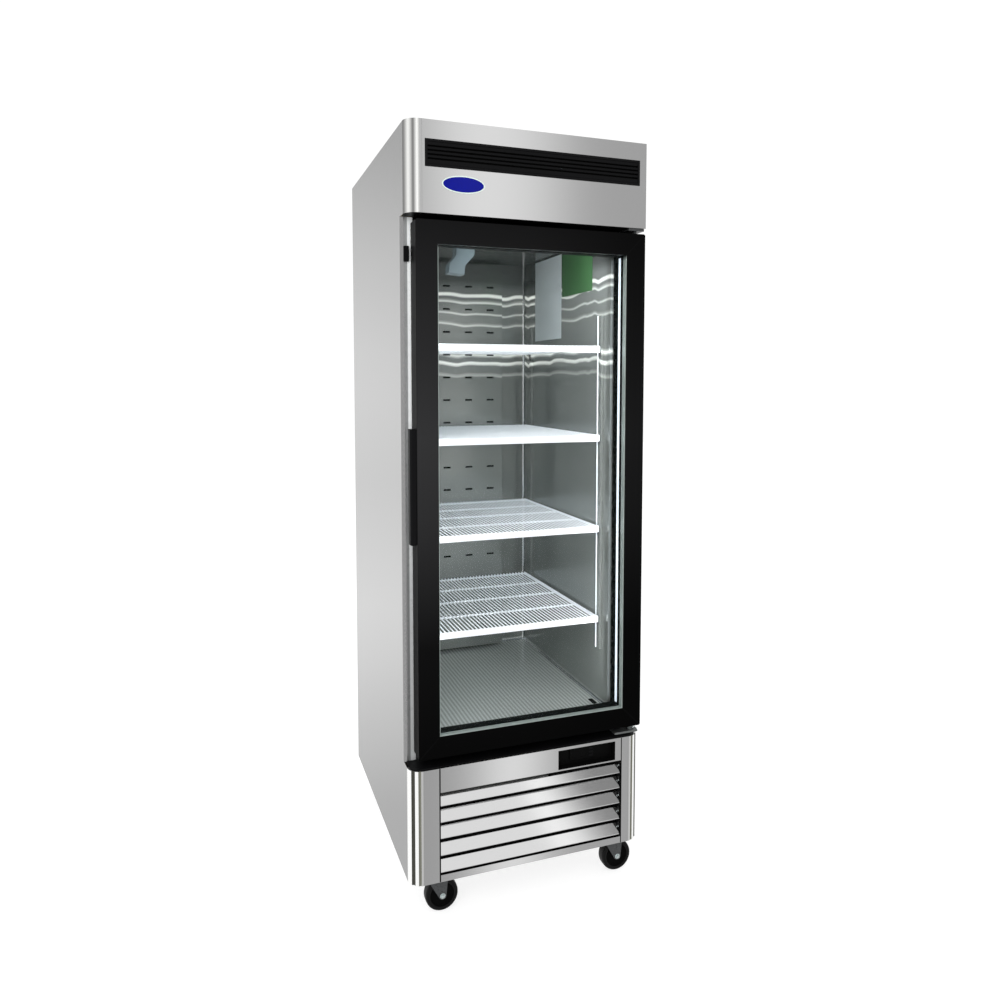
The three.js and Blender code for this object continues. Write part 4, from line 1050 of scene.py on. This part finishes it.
def studio():
    """A white room whose reflections are a soft pattern by direction, and a pale floor."""
    world = bpy.data.worlds.new("studio")
    bpy.context.scene.world = world
    world.use_nodes = True
    tree = world.node_tree
    tree.nodes.clear()
    coordinates = tree.nodes.new("ShaderNodeTexCoord")
    split = tree.nodes.new("ShaderNodeSeparateXYZ")
    tree.links.new(coordinates.outputs["Generated"], split.inputs[0])
    forward = math_node(tree, "MULTIPLY", split.outputs["Y"], -1.0)
    turn = math_node(tree, "ARCTAN2", split.outputs["X"], forward)
    azimuth = map_range(tree, turn, -math.pi, math.pi, 0.0, 1.0)
    elevation = math_node(tree, "ARCSINE", split.outputs["Z"])
    degrees = math_node(tree, "MULTIPLY", elevation, 180 / math.pi)

    low = degrees_ramp(tree, azimuth, FRONT_LOW)
    middle = degrees_ramp(tree, azimuth, FRONT_MIDDLE)
    high = degrees_ramp(tree, azimuth, FRONT_HIGH)
    pattern = blended(tree, map_range(tree, degrees, -20, -12, 0, 1, True), low, middle)
    pattern = blended(tree, map_range(tree, degrees, 22, 34, 0, 1, True), pattern, high)
    share = map_range(tree, degrees, -40, 30, 0, 1)
    behind = ramp(tree, share, [((angle + 40) / 70, (value / 2,) * 3) for angle, value in BEHIND])
    turned = math_node(tree, "ABSOLUTE", turn)
    rear = map_range(tree, turned, math.radians(152), math.radians(160), 0, 1, True)
    pattern = blended(tree, rear, pattern, behind)

    light_path = tree.nodes.new("ShaderNodeLightPath")
    reflected = node(tree, "ShaderNodeBackground", Strength=2.0)
    tree.links.new(pattern, reflected.inputs["Color"])
    plain = node(tree, "ShaderNodeBackground", Color=(1, 1, 1, 1), Strength=1.0)
    seen = node(tree, "ShaderNodeBackground", Color=(1, 1, 1, 1), Strength=1.05)
    either = chosen(tree, light_path.outputs["Is Glossy Ray"], plain.outputs[0], reflected.outputs[0])
    last = chosen(tree, light_path.outputs["Is Camera Ray"], either, seen.outputs[0])
    output = tree.nodes.new("ShaderNodeOutputWorld")
    tree.links.new(last, output.inputs["Surface"])


def floor():
    """The pale floor. Reflections pass it and show the room instead."""
    mesh = bpy.data.meshes.new("studio_floor")
    reach = 14
    mesh.from_pydata([(-reach, -reach, 0), (reach, -reach, 0), (reach, reach, 0), (-reach, reach, 0)], [],
                     [(0, 1, 2, 3)])
    material = bpy.data.materials.new("studio_floor")
    material.use_nodes = True
    tree = material.node_tree
    tree.nodes.clear()
    diffuse = node(tree, "ShaderNodeBsdfDiffuse", Color=(0.38, 0.38, 0.38, 1))
    lift = node(tree, "ShaderNodeEmission", Color=(1, 1, 1, 1), Strength=0.74)
    lit = tree.nodes.new("ShaderNodeAddShader")
    tree.links.new(diffuse.outputs[0], lit.inputs[0])
    tree.links.new(lift.outputs[0], lit.inputs[1])
    clear = tree.nodes.new("ShaderNodeBsdfTransparent")
    light_path = tree.nodes.new("ShaderNodeLightPath")
    mix = chosen(tree, light_path.outputs["Is Glossy Ray"], lit.outputs[0], clear.outputs[0])
    output = tree.nodes.new("ShaderNodeOutputMaterial")
    tree.links.new(mix, output.inputs["Surface"])
    mesh.materials.append(material)
    plane = bpy.data.objects.new("studio_floor", mesh)
    bpy.context.scene.collection.objects.link(plane)


def lamp(name, location, target, width, height, power, color=(1, 1, 1), reflected=True):
    """A rectangular light that the camera doesn't see."""
    data = bpy.data.lights.new(name, "AREA")
    data.shape = "RECTANGLE"
    data.size = width
    data.size_y = height
    data.energy = power
    data.color = color
    made = bpy.data.objects.new(name, data)
    made.location = location
    direction = Vector(target) - Vector(location)
    made.rotation_euler = direction.to_track_quat("-Z", "Y").to_euler()
    made.visible_camera = False
    made.visible_glossy = reflected
    bpy.context.scene.collection.objects.link(made)


def camera():
    data = bpy.data.cameras.new("camera")
    data.sensor_width = 36
    data.lens = 28.61
    data.shift_y = -0.07
    made = bpy.data.objects.new("camera", data)
    made.location = (-0.810, -2.383, 1.454)
    made.rotation_euler = (math.radians(90 - 3.6), 0, math.radians(-19.90))
    bpy.context.scene.collection.objects.link(made)
    bpy.context.scene.camera = made


camera()
studio()
floor()
lamp("key", (-2.2, -3.0, 3.0), (0, 0, 1.0), 2.0, 2.0, 60, reflected=False)
COLD = (0.93, 0.97, 1.0)
lamp("inner_top", (0.08, -0.30, 1.828), (0.05, 0.10, 1.2), 0.26, 0.03, 1.2, COLD, reflected=False)
lamp("inner_right", (0.235, -0.335, 1.16), (0.0, 0.10, 1.16), 0.02, 1.2, 1.1, COLD, reflected=False)
lamp("inner_left", (-0.262, -0.325, 1.16), (0.0, 0.10, 1.16), 0.02, 1.2, 0.9, COLD, reflected=False)
bpy.context.scene.view_settings.view_transform = "Standard"
